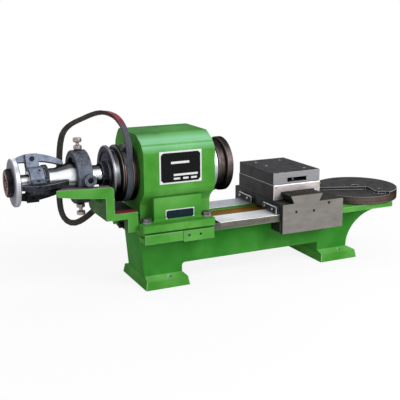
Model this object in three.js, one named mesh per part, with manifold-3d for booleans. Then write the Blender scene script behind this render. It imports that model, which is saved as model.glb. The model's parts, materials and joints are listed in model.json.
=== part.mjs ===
// A small instrument lathe: cast bed, headstock with a lever-closed collet and a belt-driven
// spindle, carriage with a cross slide, and a round base plate at the tail end of the bed.
// Millimetres. +X runs along the spindle from the collet closer to the tail end, +Y to the
// back, +Z up. The pieces are drawn over the floor point under the spindle axis, and the
// finished group is then centred over its own footprint.
import * as THREE from 'three';
import { mergeVertices } from 'three/addons/utils/BufferGeometryUtils.js';
import Module from 'manifold-3d';

const wasm = await Module();
wasm.setup();

// Driving sizes
const wayTop = 121.4;
const centreHeight = 100;
const axisZ = wayTop + centreHeight;
const gap = 0.3;
const over = 4;
const weldShare = 1e-7;
const discSides = 48;
const wideSides = 32;
const midSides = 24;
const smallSides = 12;
const bossSides = 16;
const screwHoleSides = 10;
const arcSteps = 5;
const archSteps = 12;
const boreSteps = 6;
const cornerSteps = 4;
const baseSteps = 3;
const quarterTurn = Math.PI / 2;
const hexSides = 6;
const hexCornerShare = 0.5 / Math.cos(Math.PI / hexSides);

const bed = {
  left: -214, right: 354, halfWidth: 82, slab: 14, channelFront: 30, channelBack: 27, channelDepth: 5.5,
  wallHalf: 45, underside: 39.5, lean: 9, footPlate: 16.5, footTop: 22, footHalf: 67,
  leftFoot: [-210, -118], leftPedestal: [-204, -126], rightFoot: [185, 276], rightPedestal: [188, 262],
  footDraft: 3, fillet: 8, archTop: 10, archInset: 4, pocketWall: 12, pocketRoof: 14, ribHalf: 7,
  boltHole: 4.8, boltY: 53.6, boltShift: 7.7, seatClear: 2, seatDepth: 3.4,
};
const slabBottom = wayTop - bed.slab;

// The section of the headstock, as [y, height over the axis] points from its neck in front to its
// neck at the back
const head = {
  left: -211.5, right: -66.7,
  section: [
    [-46.7, -57.6], [-50.5, -50.1], [-58.7, -42.6], [-69.7, -35.4], [-72, -25.8], [-72, 46.1], [-61.5, 59.1],
    [-58.5, 62.6], [-34, 75.6], [62, 75.6], [72, 66.6], [84, 50.6], [86, 40.6], [86, -25.8], [83, -35.4],
    [66, -42.6], [53, -50.1], [46.7, -57.6],
  ],
  padHalf: 68, padLeft: -191.5, padRight: -94.2, padTop: -41.4, padDraft: 5, padSunk: 2.2,
  baseLeft: -223, baseRight: -74.7, baseHalf: 92, baseThickness: 13.5, baseCorner: 5, bore: 30, spotRise: 0.03,
};
const baseTop = wayTop + gap + head.baseThickness;

const bolt = {
  shank: 4.5, flats: 16, head: 7, washer: 9.2, washerThickness: 2.5, y: 69, left: -207, right: -84, grip: 9,
};
const clamp = {
  front: 90, under: 56, left: -218, split: -142, right: -77.5, leftThickness: 8, rightThickness: 11,
  parting: 1.5, holeRadius: 3, holeDepth: 6, holeInset: 11, holePitch: 24,
};

const bearing = { outer: 42.5, middle: 32, width: 19 };
const cover = { radius: 52, spigot: 6, inset: 0.8 };
const spindle = {
  tail: 18.5, seat: 20, journal: 24, nose: 27, noseShoulder: 31, bore: 13,
  tailEnd: -408, seatLeft: -266, seatRight: -212.6, noseEnd: -10, chamber: 15.5,
  taperLeft: -38, mouth: 20.6, mouthBevel: 1.5,
};
const flange = {
  left: -49, right: -16.5, hub: 53, rim: 54, hubRight: -41, rimLeft: -30, waist: 46, dish: 5,
  dishRadius: 34, bevel: 1.5, boltCircle: 43, boltRadius: 3.4, boltDepth: 9, boltCount: 3,
};
const collet = {
  rear: 12.5, bore: 8, face: -9.4, head: 20, slotWidth: 1.4, slotEnd: -64, slotCount: 3, back: -70, taper: 28,
};
const drawTube = { outer: 12.5, bore: 9, left: -447, right: -70.3 };

const pulley = {
  left: -262, right: -213.5, rim: 54, endRim: 55, bottom: 43, grooveTop: 14, grooveBottom: 7.4,
  land: 5, recess: 3, recessInner: 27, recessOuter: 42, rimBevel: 1.2, grooveCount: 2,
};
const lockNut = { width: 11, radius: 25, slotWidth: 6, slotDepth: 4, slots: 4, bevel: 1 };
const carrier = {
  left: -407, right: -382.3, radius: 26.2, earLeft: -408, earRight: -385.1, earThickness: 4.7,
  earTop: 48.5, earFoot: 21, pinX: -396.7, pinR: 38.8, screwRadius: 2.5, screwDepth: 5, screwSides: 8,
};
const carrierNut = { left: -382, right: -373, radius: 28, slotWidth: 4.6, slotDepth: 3, slots: 8, bevel: 1 };
const endPlate = { left: -438, right: -428, radius: 44.5, bevel: 2 };
const endNut = { left: -448.5, flats: 46, bore: 14, boreDepth: 2.5, bevel: 3 };

const cone = {
  left: -372.7, taperStart: -358, taperEnd: -333, right: -298, small: 20.2, large: 27.6, bore: 18.8,
  stop: 30.5, stopWidth: 3.2,
};

// The fingers: back and belly are [x, radius] points counted from the pin
const finger = {
  thickness: 9, count: 3, first: -25.3, hole: 3.3, pin: 3, pinHead: 4.6, pinHeadThickness: 1.6,
  ride: 0.45, tipInset: 6.7, tipWidth: 4.6,
  back: [
    [-31, 3.7], [-26.9, 5.8], [-20.7, 8.5], [-12.9, 10.6], [-3.6, 11.6], [4.8, 11.6], [16.3, 9.7],
    [29.3, 6.2], [42.2, 1.2], [50.1, -2.9], [54.1, -5.4], [56.9, -9.2],
  ],
  belly: [
    [47.8, -12.3], [40.5, -9.7], [27.4, -6.1], [14.2, -3.6], [9, -5.2], [4, -7.3], [-4, -7.3], [-9, -5.2],
    [-15, -3.4], [-24.9, -3.2], [-31, -1.8],
  ],
};

const ring = {
  left: -326.6, right: -299, outer: 50, inner: 37, bevel: 1.6, bossX: -307.5, bossRadius: 11.4,
  bossReach: 58, socket: 5.6, socketDepth: 13, raceWidth: 18, cupX: -312.8, turn: -2.2,
};
const cup = {
  nut: 8.2, nutHeight: 8.6, neck: 3.4, neckHeight: 5, cap: 8.3, capHeight: 8.6, capBevel: 1.8, foot: 6.6,
};

const belt = { width: 12.6, inner: 7, thickness: 8, centreX: -290, spread: 45, steps: 72 };

// Heights in the bracket count from the spindle axis, those of its block from the ways
const bracket = {
  front: -68, postLeft: -284, postRight: -268, top: -11, bottom: -74.4, backTop: -39.4, notch: 47,
  notchCentre: [-8, -5.4], notchFront: -48, notchCorner: 11, topCorner: 7,
  heel: [[20, -75.4], [39, -70.9], [47, -58.4]], ledgeTop: -62.4, ledgeBack: 40,
  blockLeft: -243, blockBack: 2, blockDrop: 0.3, armBack: -50.6,
  arm: [[-374, -9.4], [-374, -16.4], [-372.8, -18], [-369.8, -20.3], [-341, -25.4], [-310, -28.8]],
  armTip: [-372.6, -7.6], armRoot: -30.8, armBevel: 17, ribFront: -32, ribBack: -20,
  rib: [[-266, 25.6], [-259.6, 15.1], [-255.8, 10.2], [-250.3, 4.4], [-247, -0.3]],
  screwHeight: 8.6, screwFront: -40, screwBack: -8,
};
const socketScrew = { shank: 4, head: 6.3, headLength: 8.4, key: 3, keyDepth: 4.5, grip: 8 };

const disc = {
  inset: 38.4, radius: 89.6, height: 20, stepDrop: 6, bevel: 1.4, boltHead: 8, boltHeadDepth: 9, boltShank: 5,
  key: 3.4, keyDepth: 5, grip: 10, plugRadius: 3.2, plug: [28, -49], plugDepth: 10, stepEnd: 24,
  step: [[-78, 14.3], [12, -21.2], [13.5, -31.7], [5, -62], [9, -70], [24, -76]],
};
const discX = bed.right - disc.inset;
const discTop = wayTop + disc.height;

// Places along the saddle, the slide and its block count from the saddle's left end
const saddle = {
  length: 144, discClear: 8, front: -91.4, back: 113, top: 143, bottom: 82.8, edge: 1.2,
  tailCentre: 56, tailTop: 37.5, tailBase: 29.5, tailHeight: 16, gibThickness: 6,
  screwRadius: 3, screwDepth: 6, screws: [[31.3, 125.9], [73.1, 124.2], [109, 137]],
};
const saddleRight = discX - disc.radius - saddle.discClear;
const saddleLeft = saddleRight - saddle.length;
const keep = { inner: 46.5 };
const wiper = { thickness: 7.7, height: 15, corner: 5, front: [-78, -22], rear: [26, 84] };

// Heights of the slide count from the top of the saddle, those of its block from the ledge
const slide = {
  left: 0.5, right: 112.2, front: -52.8, back: 97.4, ledge: 32, block: 24.5, blockInset: 0.6, step: 2.4,
  gibThickness: 5, window: [34, 79.6, 4, 12.8], windowDepth: 62, holeRadius: 3.4, holeDepth: 12,
  holes: [[29.2, 27], [87.9, 71], [90.7, -24.8], [29.2, 71]],
};

// Materials
function finish(colour, roughness, metalness) {
  return new THREE.MeshStandardMaterial({ color: colour, roughness, metalness });
}
const green = finish('#4f9e45', 0.42, 0);
const groundSteel = finish('#9a958e', 0.36, 0.9);
const darkSteel = finish('#4a4a4a', 0.5, 0.8);
const phosphate = finish('#5f6674', 0.55, 0.6);
const polished = finish('#c3c2bd', 0.18, 1);
const oiledIron = finish('#2d282a', 0.38, 0.7);
const brownIron = finish('#4a3532', 0.45, 0.6);
const plateSteel = finish('#9a9aa5', 0.4, 0.9);
const blackOxide = finish('#242427', 0.4, 0.6);
const brass = finish('#b08a45', 0.35, 0.9);
const beltRubber = finish('#3f3c3b', 0.75, 0);

// Solids: a closed geometry becomes a solid that can be cut and joined
function toSolid(geometry) {
  const bare = new THREE.BufferGeometry();
  bare.setAttribute('position', geometry.getAttribute('position'));
  bare.setIndex(geometry.getIndex());
  bare.computeBoundingSphere();
  const merged = mergeVertices(bare, bare.boundingSphere.radius * weldShare * 10);
  const at = new THREE.Vector3();
  const corners = [...merged.getIndex().array];
  const kept = [];
  let volume = 0;
  for (let i = 0; i < corners.length; i += 3) {
    const [a, b, c] = corners.slice(i, i + 3);
    if (a === b || b === c || c === a) continue;
    kept.push(a, b, c);
    const place = merged.getAttribute('position');
    const first = at.fromBufferAttribute(place, a).clone();
    const second = at.fromBufferAttribute(place, b).clone();
    volume += first.dot(second.cross(at.fromBufferAttribute(place, c)));
  }
  if (volume < 0) kept.reverse();
  return new wasm.Manifold(new wasm.Mesh({
    numProp: 3,
    vertProperties: Float32Array.from(merged.getAttribute('position').array),
    triVerts: Uint32Array.from(kept),
  }));
}

function cut(body, ...tools) {
  return tools.reduce((left, tool) => left.subtract(tool), body);
}

function join(body, ...others) {
  return others.reduce((left, other) => left.add(other), body);
}

function toMesh(name, solid, material) {
  const made = solid.getMesh();
  const geometry = new THREE.BufferGeometry();
  const places = new Float32Array(made.numVert * 3);
  for (let i = 0; i < made.numVert; i += 1) {
    places.set(made.vertProperties.subarray(i * made.numProp, i * made.numProp + 3), i * 3);
  }
  geometry.setAttribute('position', new THREE.BufferAttribute(places, 3));
  geometry.setIndex(new THREE.BufferAttribute(Uint32Array.from(made.triVerts), 1));
  geometry.computeVertexNormals();
  const mesh = new THREE.Mesh(geometry, material);
  mesh.name = name;
  return mesh;
}

// Basic forms, placed by their limits
function box(x0, x1, y0, y1, z0, z1) {
  const form = new THREE.BoxGeometry(x1 - x0, y1 - y0, z1 - z0);
  return toSolid(form.translate((x0 + x1) / 2, (y0 + y1) / 2, (z0 + z1) / 2));
}

function prism(outline, depth, basis, steps = arcSteps) {
  const corners = Array.isArray(outline) ? outline.map(([u, v]) => new THREE.Vector2(u, v)) : undefined;
  const shape = corners ? new THREE.Shape(corners) : outline;
  const form = new THREE.ExtrudeGeometry(shape, { depth, bevelEnabled: false, curveSegments: steps });
  return toSolid(form.applyMatrix4(basis));
}

const xAxis = new THREE.Vector3(1, 0, 0);
const yAxis = new THREE.Vector3(0, 1, 0);
const zAxis = new THREE.Vector3(0, 0, 1);

// An outline in y and z, carried along x
function prismX(outline, x0, x1, steps) {
  const basis = new THREE.Matrix4().makeBasis(yAxis, zAxis, xAxis).setPosition(x0, 0, 0);
  return prism(outline, x1 - x0, basis, steps);
}

// An outline in x and z, carried along y
function prismY(outline, y0, y1, steps) {
  const basis = new THREE.Matrix4().makeBasis(xAxis, zAxis, yAxis.clone().negate()).setPosition(0, y1, 0);
  return prism(outline, y1 - y0, basis, steps);
}

// An outline in x and y, carried along z
function prismZ(outline, z0, z1, steps) {
  return prism(outline, z1 - z0, new THREE.Matrix4().setPosition(0, 0, z0), steps);
}

function roundedBox(x0, x1, y0, y1, z0, z1, radius) {
  const shape = new THREE.Shape();
  shape.moveTo(x0 + radius, y0).lineTo(x1 - radius, y0).absarc(x1 - radius, y0 + radius, radius, -quarterTurn, 0);
  shape.lineTo(x1, y1 - radius).absarc(x1 - radius, y1 - radius, radius, 0, quarterTurn);
  shape.lineTo(x0 + radius, y1).absarc(x0 + radius, y1 - radius, radius, quarterTurn, Math.PI);
  shape.lineTo(x0, y0 + radius).absarc(x0 + radius, y0 + radius, radius, Math.PI, -quarterTurn);
  return prismZ(shape, z0, z1, baseSteps);
}

// A box whose top is drawn in on every side
function plinth(low, high, z0, z1) {
  const form = new THREE.BoxGeometry(1, 1, 1);
  const place = form.getAttribute('position');
  for (let i = 0; i < place.count; i += 1) {
    const limits = place.getZ(i) > 0 ? high : low;
    const x = place.getX(i) > 0 ? limits[1] : limits[0];
    const y = place.getY(i) > 0 ? limits[3] : limits[2];
    place.setXYZ(i, x, y, place.getZ(i) > 0 ? z1 : z0);
  }
  return toSolid(form);
}

// Corners are welded while a form stands on its own axis; only then does it move to its place
function placed(form, x, y, z) {
  return toSolid(form).translate([x, y, z]);
}

// A closed profile of [x, radius] points, turned about the spindle axis
function turned(profile, sides) {
  const points = [...profile, profile[0]].map(([x, r]) => new THREE.Vector2(r, x));
  const form = new THREE.LatheGeometry(points, sides);
  return placed(form.rotateZ(-quarterTurn), 0, 0, axisZ);
}

function tube(x0, x1, inner, outer, sides) {
  return turned([[x0, inner], [x1, inner], [x1, outer], [x0, outer]], sides);
}

// A straight rod from one point along a direction
function rod(from, direction, length, radius, sides = smallSides) {
  const form = new THREE.CylinderGeometry(radius, radius, length, sides);
  const turn = new THREE.Matrix4().makeRotationFromQuaternion(
    new THREE.Quaternion().setFromUnitVectors(yAxis, direction),
  );
  const middle = direction.clone().multiplyScalar(length / 2).add(from);
  return toSolid(form).transform(turn.setPosition(middle).toArray());
}

// An upright stack of discs: [height, radius] pairs turned about a vertical line
function stack(x, y, profile, sides = smallSides) {
  const form = new THREE.LatheGeometry(profile.map(([z, r]) => new THREE.Vector2(r, z)), sides);
  return placed(form.rotateX(quarterTurn), x, y, 0);
}

// Turns a solid about the spindle axis
function aroundSpindle(solid, angle) {
  const there = new THREE.Matrix4().makeTranslation(0, 0, axisZ);
  const turn = new THREE.Matrix4().makeRotationX(angle);
  const back = new THREE.Matrix4().makeTranslation(0, 0, -axisZ);
  return solid.transform(there.multiply(turn).multiply(back).toArray());
}

// Bed
function bedCasting() {
  const slab = prismX([
    [-bed.halfWidth, slabBottom], [bed.halfWidth, slabBottom], [bed.halfWidth, wayTop],
    [bed.channelBack, wayTop], [bed.channelBack, wayTop - bed.channelDepth],
    [-bed.channelFront, wayTop - bed.channelDepth], [-bed.channelFront, wayTop], [-bed.halfWidth, wayTop],
  ], bed.left, bed.right);

  const sunk = bed.footPlate / 2;
  const archZ = bed.footTop;
  const archEnd = bed.right - bed.archInset;
  const archRise = slabBottom - bed.archTop - archZ;
  const archRun = archEnd - bed.rightPedestal[1];
  const side = new THREE.Shape();
  side.moveTo(bed.leftPedestal[0], sunk);
  side.lineTo(bed.leftPedestal[0] - bed.lean, slabBottom + bed.slab / 2);
  side.lineTo(archEnd, slabBottom + bed.slab / 2);
  side.lineTo(archEnd, archZ + archRise);
  side.absellipse(archEnd, archZ, archRun, archRise, quarterTurn, Math.PI, false, 0);
  side.lineTo(bed.rightPedestal[1], sunk);
  side.lineTo(bed.rightPedestal[0], sunk);
  side.lineTo(bed.rightPedestal[0], bed.underside);
  side.lineTo(bed.leftPedestal[1] + bed.fillet, bed.underside);
  side.quadraticCurveTo(bed.leftPedestal[1], bed.underside, bed.leftPedestal[1], bed.underside - bed.fillet);
  side.lineTo(bed.leftPedestal[1], sunk);
  const web = prismY(side, -bed.wallHalf, bed.wallHalf, archSteps);

  const feet = [[bed.leftFoot, bed.leftPedestal], [bed.rightFoot, bed.rightPedestal]].map(([foot, pedestal]) => {
    const low = [foot[0], foot[1], -bed.footHalf, bed.footHalf];
    const upper = bed.footHalf - bed.footDraft;
    const high = [foot[0] + bed.footDraft, foot[1] - bed.footDraft, -upper, upper];
    const top = [pedestal[0], pedestal[1], -bed.wallHalf, bed.wallHalf];
    return join(plinth(low, high, 0, bed.footPlate), plinth(high, top, bed.footPlate, bed.footTop));
  });

  const pocketTop = slabBottom - bed.pocketRoof;
  const pocketHalf = bed.wallHalf - bed.pocketWall;
  const middle = (bed.leftPedestal[1] + bed.rightPedestal[0]) / 2;
  const pockets = [
    [bed.leftPedestal[1] + bed.pocketWall, middle - bed.ribHalf],
    [middle + bed.ribHalf, bed.rightPedestal[0] - bed.pocketWall],
  ].map(([x0, x1]) => box(x0, x1, -pocketHalf, pocketHalf, bed.underside - over, pocketTop));

  const holes = [];
  for (const foot of [bed.leftFoot, bed.rightFoot]) {
    for (const side of [-1, 1]) {
      const at = new THREE.Vector3((foot[0] + foot[1]) / 2 + bed.boltShift, side * bed.boltY, -over);
      holes.push(rod(at, zAxis, bed.footTop + 2 * over, bed.boltHole));
    }
  }
  for (const x of [bolt.left, bolt.right]) {
    for (const side of [-1, 1]) {
      const at = new THREE.Vector3(x, side * bolt.y, slabBottom - over);
      holes.push(rod(at, zAxis, bed.slab + 2 * over, bolt.shank + gap));
    }
  }
  const low = bed.halfWidth + over;
  const seatZ = wayTop - bed.seatDepth;
  const seatLeft = discX - disc.radius - bed.seatClear;
  const discSeat = box(seatLeft, bed.right + over, -low, low, seatZ, wayTop + over);
  const thread = new THREE.Vector3(discX, 0, seatZ - disc.grip - over);
  const discThread = rod(thread, zAxis, disc.grip + 2 * over, disc.boltShank + gap);
  return cut(join(slab, web, ...feet), discSeat, discThread, ...pockets, ...holes);
}

// Headstock
const rearBearing = [head.left + cover.spigot, head.left + cover.spigot + bearing.width];
const frontBearing = [head.right - cover.spigot - bearing.width, head.right - cover.spigot];

function headstockCasting() {
  const sunk = baseTop - head.baseThickness / 2;
  const upper = head.section.map(([y, height]) => [y, axisZ + height]);
  const body = prismX([[upper[0][0], sunk], ...upper, [upper[upper.length - 1][0], sunk]], head.left, head.right);
  const floor = wayTop + gap;
  const { baseLeft, baseRight, baseHalf } = head;
  const base = roundedBox(baseLeft, baseRight, -baseHalf, baseHalf, floor, baseTop, head.baseCorner);
  const pads = box(head.padLeft, head.padRight, -head.padHalf, head.padHalf, sunk, axisZ + head.padTop);
  const wide = head.padHalf + head.padDraft;
  const padFoot = plinth(
    [head.padLeft - head.padDraft, head.padRight + head.padDraft, -wide, wide],
    [head.padLeft, head.padRight, -head.padHalf, head.padHalf],
    baseTop - head.padSunk, baseTop + head.padDraft,
  );
  const housing = bearing.outer + gap;
  const through = tube(head.left - over, head.right + over, 0, head.bore, midSides);
  const rear = tube(head.left - over, rearBearing[1] + gap, 0, housing, wideSides);
  const front = tube(frontBearing[0] - gap, head.right + over, 0, housing, wideSides);
  const holes = [];
  for (const x of [bolt.left, bolt.right]) {
    for (const side of [-1, 1]) {
      const under = new THREE.Vector3(x, side * bolt.y, wayTop - over);
      holes.push(rod(under, zAxis, head.baseThickness + 2 * over, bolt.shank + gap, smallSides));
      const spot = new THREE.Vector3(x, side * bolt.y, baseTop + head.spotRise);
      holes.push(rod(spot, zAxis, bolt.washerThickness + bolt.head + over, bolt.washer + 2 * gap, smallSides));
    }
  }
  const threads = [bracket.screwFront, bracket.screwBack].map((y) => {
    const at = new THREE.Vector3(head.baseLeft - over, y, wayTop + bracket.screwHeight);
    return rod(at, xAxis, over + socketScrew.grip + gap, socketScrew.shank + gap);
  });
  return cut(join(body, base, pads, padFoot), through, rear, front, ...holes, ...threads);
}

// Keeper under the front or back way, with the lip that stands beside the way
function headClamp(x0, x1, side, thickness) {
  const foot = slabBottom - gap;
  const shelf = wayTop + gap - bed.slab / 3;
  const section = [
    [-clamp.front, foot - thickness], [-clamp.under, foot - thickness], [-clamp.under, foot],
    [-bed.halfWidth - gap, foot], [-bed.halfWidth - gap, shelf], [-clamp.front, shelf],
  ].map(([y, z]) => [side * -y, z]);
  const bar = prismX(section, x0, x1);
  const threads = [bolt.left, bolt.right].filter((x) => x > x0 && x < x1).map((x) => {
    const at = new THREE.Vector3(x, side * bolt.y, foot - thickness - over);
    return rod(at, zAxis, thickness + 2 * over, bolt.shank + gap, smallSides);
  });
  return cut(bar, ...threads);
}

function frontRightClamp() {
  const bar = headClamp(clamp.split + clamp.parting, clamp.right, -1, clamp.rightThickness);
  const holes = [0, 1].map((i) => {
    const x = clamp.split + clamp.parting + clamp.holeInset + i * clamp.holePitch;
    const at = new THREE.Vector3(x, -clamp.front - over, slabBottom - gap);
    return rod(at, yAxis, clamp.holeDepth + over - gap, clamp.holeRadius, screwHoleSides);
  });
  return cut(bar, ...holes);
}

function holdDownBolt(x, side) {
  const z = baseTop + gap;
  const at = (height) => new THREE.Vector3(x, side * bolt.y, height);
  const washer = rod(at(z), zAxis, bolt.washerThickness, bolt.washer, smallSides);
  const seat = at(z + bolt.washerThickness - gap);
  const hex = rod(seat, zAxis, bolt.head, bolt.flats * hexCornerShare, hexSides);
  const length = z - slabBottom + bolt.grip;
  const shank = rod(at(z - length), zAxis, length + gap, bolt.shank);
  return join(hex, washer, shank);
}

// Bearings and covers
function outerRace([x0, x1]) {
  return tube(x0, x1, bearing.middle + gap, bearing.outer, midSides);
}

function innerRace([x0, x1]) {
  return tube(x0, x1, spindle.journal + gap, bearing.middle, midSides);
}

function frontCover() {
  const bore = spindle.noseShoulder + gap + cover.inset;
  const start = frontBearing[1] + gap;
  const face = head.right + gap;
  const right = flange.left - gap;
  return turned([
    [start, bore], [start, bearing.outer], [face, bearing.outer], [face, cover.radius],
    [right - cover.inset, cover.radius], [right, cover.radius - cover.inset], [right, bore],
  ], wideSides);
}

function rearCover() {
  return tube(head.left + cover.inset, rearBearing[0] - gap, spindle.journal + gap, bearing.outer, midSides);
}

// Spindle, hollow from end to end, with a taper in its nose for the collet
function spindleShaft() {
  return turned([
    [spindle.tailEnd, spindle.bore], [spindle.taperLeft - over, spindle.bore],
    [spindle.taperLeft - over, spindle.chamber],
    [spindle.taperLeft, spindle.chamber], [spindle.noseEnd - spindle.mouthBevel, spindle.mouth],
    [spindle.noseEnd, spindle.mouth + spindle.mouthBevel], [spindle.noseEnd, spindle.nose - spindle.mouthBevel],
    [spindle.noseEnd - spindle.mouthBevel, spindle.nose], [flange.left - gap, spindle.nose],
    [flange.left - gap, spindle.noseShoulder], [frontBearing[1] + gap, spindle.noseShoulder],
    [frontBearing[1] + gap, spindle.journal], [spindle.seatRight, spindle.journal],
    [spindle.seatRight, spindle.seat], [spindle.seatLeft, spindle.seat], [spindle.seatLeft, spindle.tail],
    [spindle.tailEnd, spindle.tail],
  ], midSides);
}

function noseFlange() {
  const bore = spindle.nose + gap;
  const body = turned([
    [flange.left, bore], [flange.left, flange.hub - flange.bevel], [flange.left + flange.bevel, flange.hub],
    [flange.hubRight - flange.bevel, flange.hub], [flange.hubRight, flange.hub - flange.bevel],
    [flange.hubRight + flange.bevel, flange.waist], [flange.rimLeft - flange.bevel, flange.waist],
    [flange.rimLeft, flange.rim - flange.bevel], [flange.rimLeft + flange.bevel, flange.rim],
    [flange.right - flange.bevel, flange.rim], [flange.right, flange.rim - flange.bevel],
    [flange.right, flange.dishRadius], [flange.right - flange.dish, flange.dishRadius - flange.dish],
    [flange.right - flange.dish, bore],
  ], wideSides);
  const holes = [];
  for (let i = 0; i < flange.boltCount; i += 1) {
    const at = new THREE.Vector3(flange.right - flange.boltDepth, 0, axisZ + flange.boltCircle);
    const hole = rod(at, xAxis, flange.boltDepth + over, flange.boltRadius);
    holes.push(aroundSpindle(hole, (i / flange.boltCount) * 2 * Math.PI));
  }
  return cut(body, ...holes);
}

function springCollet() {
  const rise = (spindle.mouth - spindle.chamber) / (spindle.noseEnd - spindle.mouthBevel - spindle.taperLeft);
  const wall = collet.head - (collet.taper - over) * rise;
  const body = turned([
    [collet.back, collet.bore], [collet.face - collet.bore / 4, collet.bore],
    [collet.face, collet.bore + collet.bore / 8],
    [collet.face, collet.head], [collet.face - over, collet.head], [collet.face - collet.taper, wall],
    [collet.face - collet.taper, collet.rear], [collet.back, collet.rear],
  ], midSides);
  const slots = [];
  for (let i = 0; i < collet.slotCount; i += 1) {
    const half = collet.slotWidth / 2;
    const slot = box(collet.slotEnd, collet.face + over, -half, half, axisZ, axisZ + collet.head + over);
    slots.push(aroundSpindle(slot, (i / collet.slotCount) * 2 * Math.PI));
  }
  return cut(body, ...slots);
}

// Two-groove pulley: outline walked from the bore up the left face, over the rims and back
function spindlePulley() {
  const bore = spindle.seat + gap;
  const slope = (pulley.grooveTop - pulley.grooveBottom) / 2;
  const outline = [
    [pulley.left, bore], [pulley.left, pulley.recessInner], [pulley.left + pulley.recess, pulley.recessInner],
    [pulley.left + pulley.recess, pulley.recessOuter], [pulley.left, pulley.recessOuter],
    [pulley.left, pulley.rim - pulley.rimBevel], [pulley.left + pulley.rimBevel, pulley.rim],
  ];
  let x = pulley.left + pulley.land;
  for (let i = 0; i < pulley.grooveCount; i += 1) {
    const last = i === pulley.grooveCount - 1;
    outline.push([x, pulley.rim], [x + slope, pulley.bottom]);
    x += pulley.grooveTop;
    outline.push([x - slope, pulley.bottom], [x, last ? pulley.endRim : pulley.rim]);
    x += pulley.land;
  }
  outline.push(
    [pulley.right - pulley.rimBevel, pulley.endRim], [pulley.right, pulley.endRim - pulley.rimBevel],
    [pulley.right, bore],
  );
  return turned(outline, wideSides);
}

function slottedNut(x0, x1, inner, nut, start) {
  const slots = [];
  const half = nut.slotWidth / 2;
  const top = axisZ + nut.radius;
  for (let i = 0; i < nut.slots; i += 1) {
    const slot = box(x0 - over, x1 + over, -half, half, top - nut.slotDepth, top + over);
    slots.push(aroundSpindle(slot, start + (i / nut.slots) * 2 * Math.PI));
  }
  const body = turned([
    [x0, inner], [x0, nut.radius - nut.bevel], [x0 + nut.bevel, nut.radius], [x1 - nut.bevel, nut.radius],
    [x1, nut.radius - nut.bevel], [x1, inner],
  ], midSides);
  return cut(body, ...slots);
}

// Collet closer. The fingers are drawn straight above the spindle and then turned round it.
const earInner = finger.thickness / 2 + gap;
const earOuter = earInner + carrier.earThickness;
const pinZ = axisZ + carrier.pinR;
const fingerAngle = (i) => THREE.MathUtils.degToRad(finger.first) + (i / finger.count) * 2 * Math.PI;

function fingerCarrier() {
  const body = tube(carrier.left, carrier.right, spindle.tail + gap, carrier.radius, midSides);
  const width = carrier.earRight - carrier.earLeft;
  const parts = [];
  const cuts = [];
  for (let i = 0; i < finger.count; i += 1) {
    const angle = fingerAngle(i);
    for (const y0 of [-earOuter, earInner]) {
      const y1 = y0 + carrier.earThickness;
      const ear = box(carrier.earLeft, carrier.earRight, y0, y1, axisZ + carrier.earFoot, axisZ + carrier.earTop);
      parts.push(aroundSpindle(ear, angle));
    }
    const pin = new THREE.Vector3(carrier.pinX, -earOuter - over, pinZ);
    cuts.push(aroundSpindle(rod(pin, yAxis, 2 * (earOuter + over), finger.hole), angle));
    const screw = new THREE.Vector3(carrier.pinX + width / 3, 0, axisZ + carrier.radius - carrier.screwDepth);
    const screwHole = rod(screw, zAxis, carrier.screwDepth + over, carrier.screwRadius, carrier.screwSides);
    cuts.push(aroundSpindle(screwHole, angle + Math.PI / finger.count));
  }
  return cut(join(body, ...parts), ...cuts);
}

// Radius of the cone at a place on its taper
function coneRadius(x) {
  return THREE.MathUtils.mapLinear(x, cone.taperStart, cone.taperEnd, cone.small, cone.large);
}

// The bent lever that rides on the cone with one end and pushes the end plate with the other
function closerFinger(angle) {
  const at = ([x, r]) => [carrier.pinX + x, pinZ + r];
  const tip = cone.taperEnd - finger.tipInset;
  const foot = [tip, tip - finger.tipWidth].map((x) => [x, axisZ + coneRadius(x) + finger.ride]);
  const shape = new THREE.Shape([...finger.back.map(at), ...foot, ...finger.belly.map(at)].map(
    ([x, z]) => new THREE.Vector2(x, z),
  ));
  shape.holes.push(new THREE.Path().absarc(carrier.pinX, pinZ, finger.hole, 0, 2 * Math.PI, false));
  return aroundSpindle(prismY(shape, -finger.thickness / 2, finger.thickness / 2, boreSteps), angle);
}

function fingerPin(angle) {
  const start = new THREE.Vector3(carrier.pinX, -earOuter - finger.pinHeadThickness - gap, pinZ);
  const head = rod(start, yAxis, finger.pinHeadThickness, finger.pinHead);
  const length = 2 * earOuter + finger.pinHeadThickness + 2 * gap;
  return aroundSpindle(join(head, rod(start, yAxis, length + finger.pinHeadThickness, finger.pin)), angle);
}

function closerEndPlate() {
  return turned([
    [endPlate.left, drawTube.outer + gap], [endPlate.left, endPlate.radius - endPlate.bevel],
    [endPlate.left + endPlate.bevel, endPlate.radius], [endPlate.right - endPlate.bevel, endPlate.radius],
    [endPlate.right, endPlate.radius - endPlate.bevel], [endPlate.right, drawTube.outer + gap],
  ], wideSides);
}

function closerNut() {
  const right = endPlate.left - gap;
  const corner = endNut.flats * hexCornerShare;
  const start = new THREE.Vector3(endNut.left, 0, axisZ);
  const body = rod(start, xAxis, right - endNut.left, corner, hexSides);
  const round = turned([
    [endNut.left, 0], [endNut.left, corner - endNut.bevel], [endNut.left + endNut.bevel, corner],
    [right, corner], [right, 0],
  ], midSides);
  const bore = tube(endNut.left - over, right + over, 0, drawTube.outer + gap, midSides);
  const mouth = tube(endNut.left - over, endNut.left + endNut.boreDepth, 0, endNut.bore, midSides);
  return cut(body.intersect(round), bore, mouth);
}

function shiftCone() {
  const stopLeft = cone.right - cone.stopWidth;
  return turned([
    [cone.left, cone.bore], [cone.left, cone.small], [cone.taperStart, cone.small], [cone.taperEnd, cone.large],
    [stopLeft, cone.large], [stopLeft, cone.stop], [cone.right, cone.stop], [cone.right, cone.bore],
  ], midSides);
}

const raceRight = cone.right - cone.stopWidth - gap;

function shiftRace() {
  return tube(raceRight - ring.raceWidth, raceRight, cone.large + gap, ring.inner - gap, wideSides);
}

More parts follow.
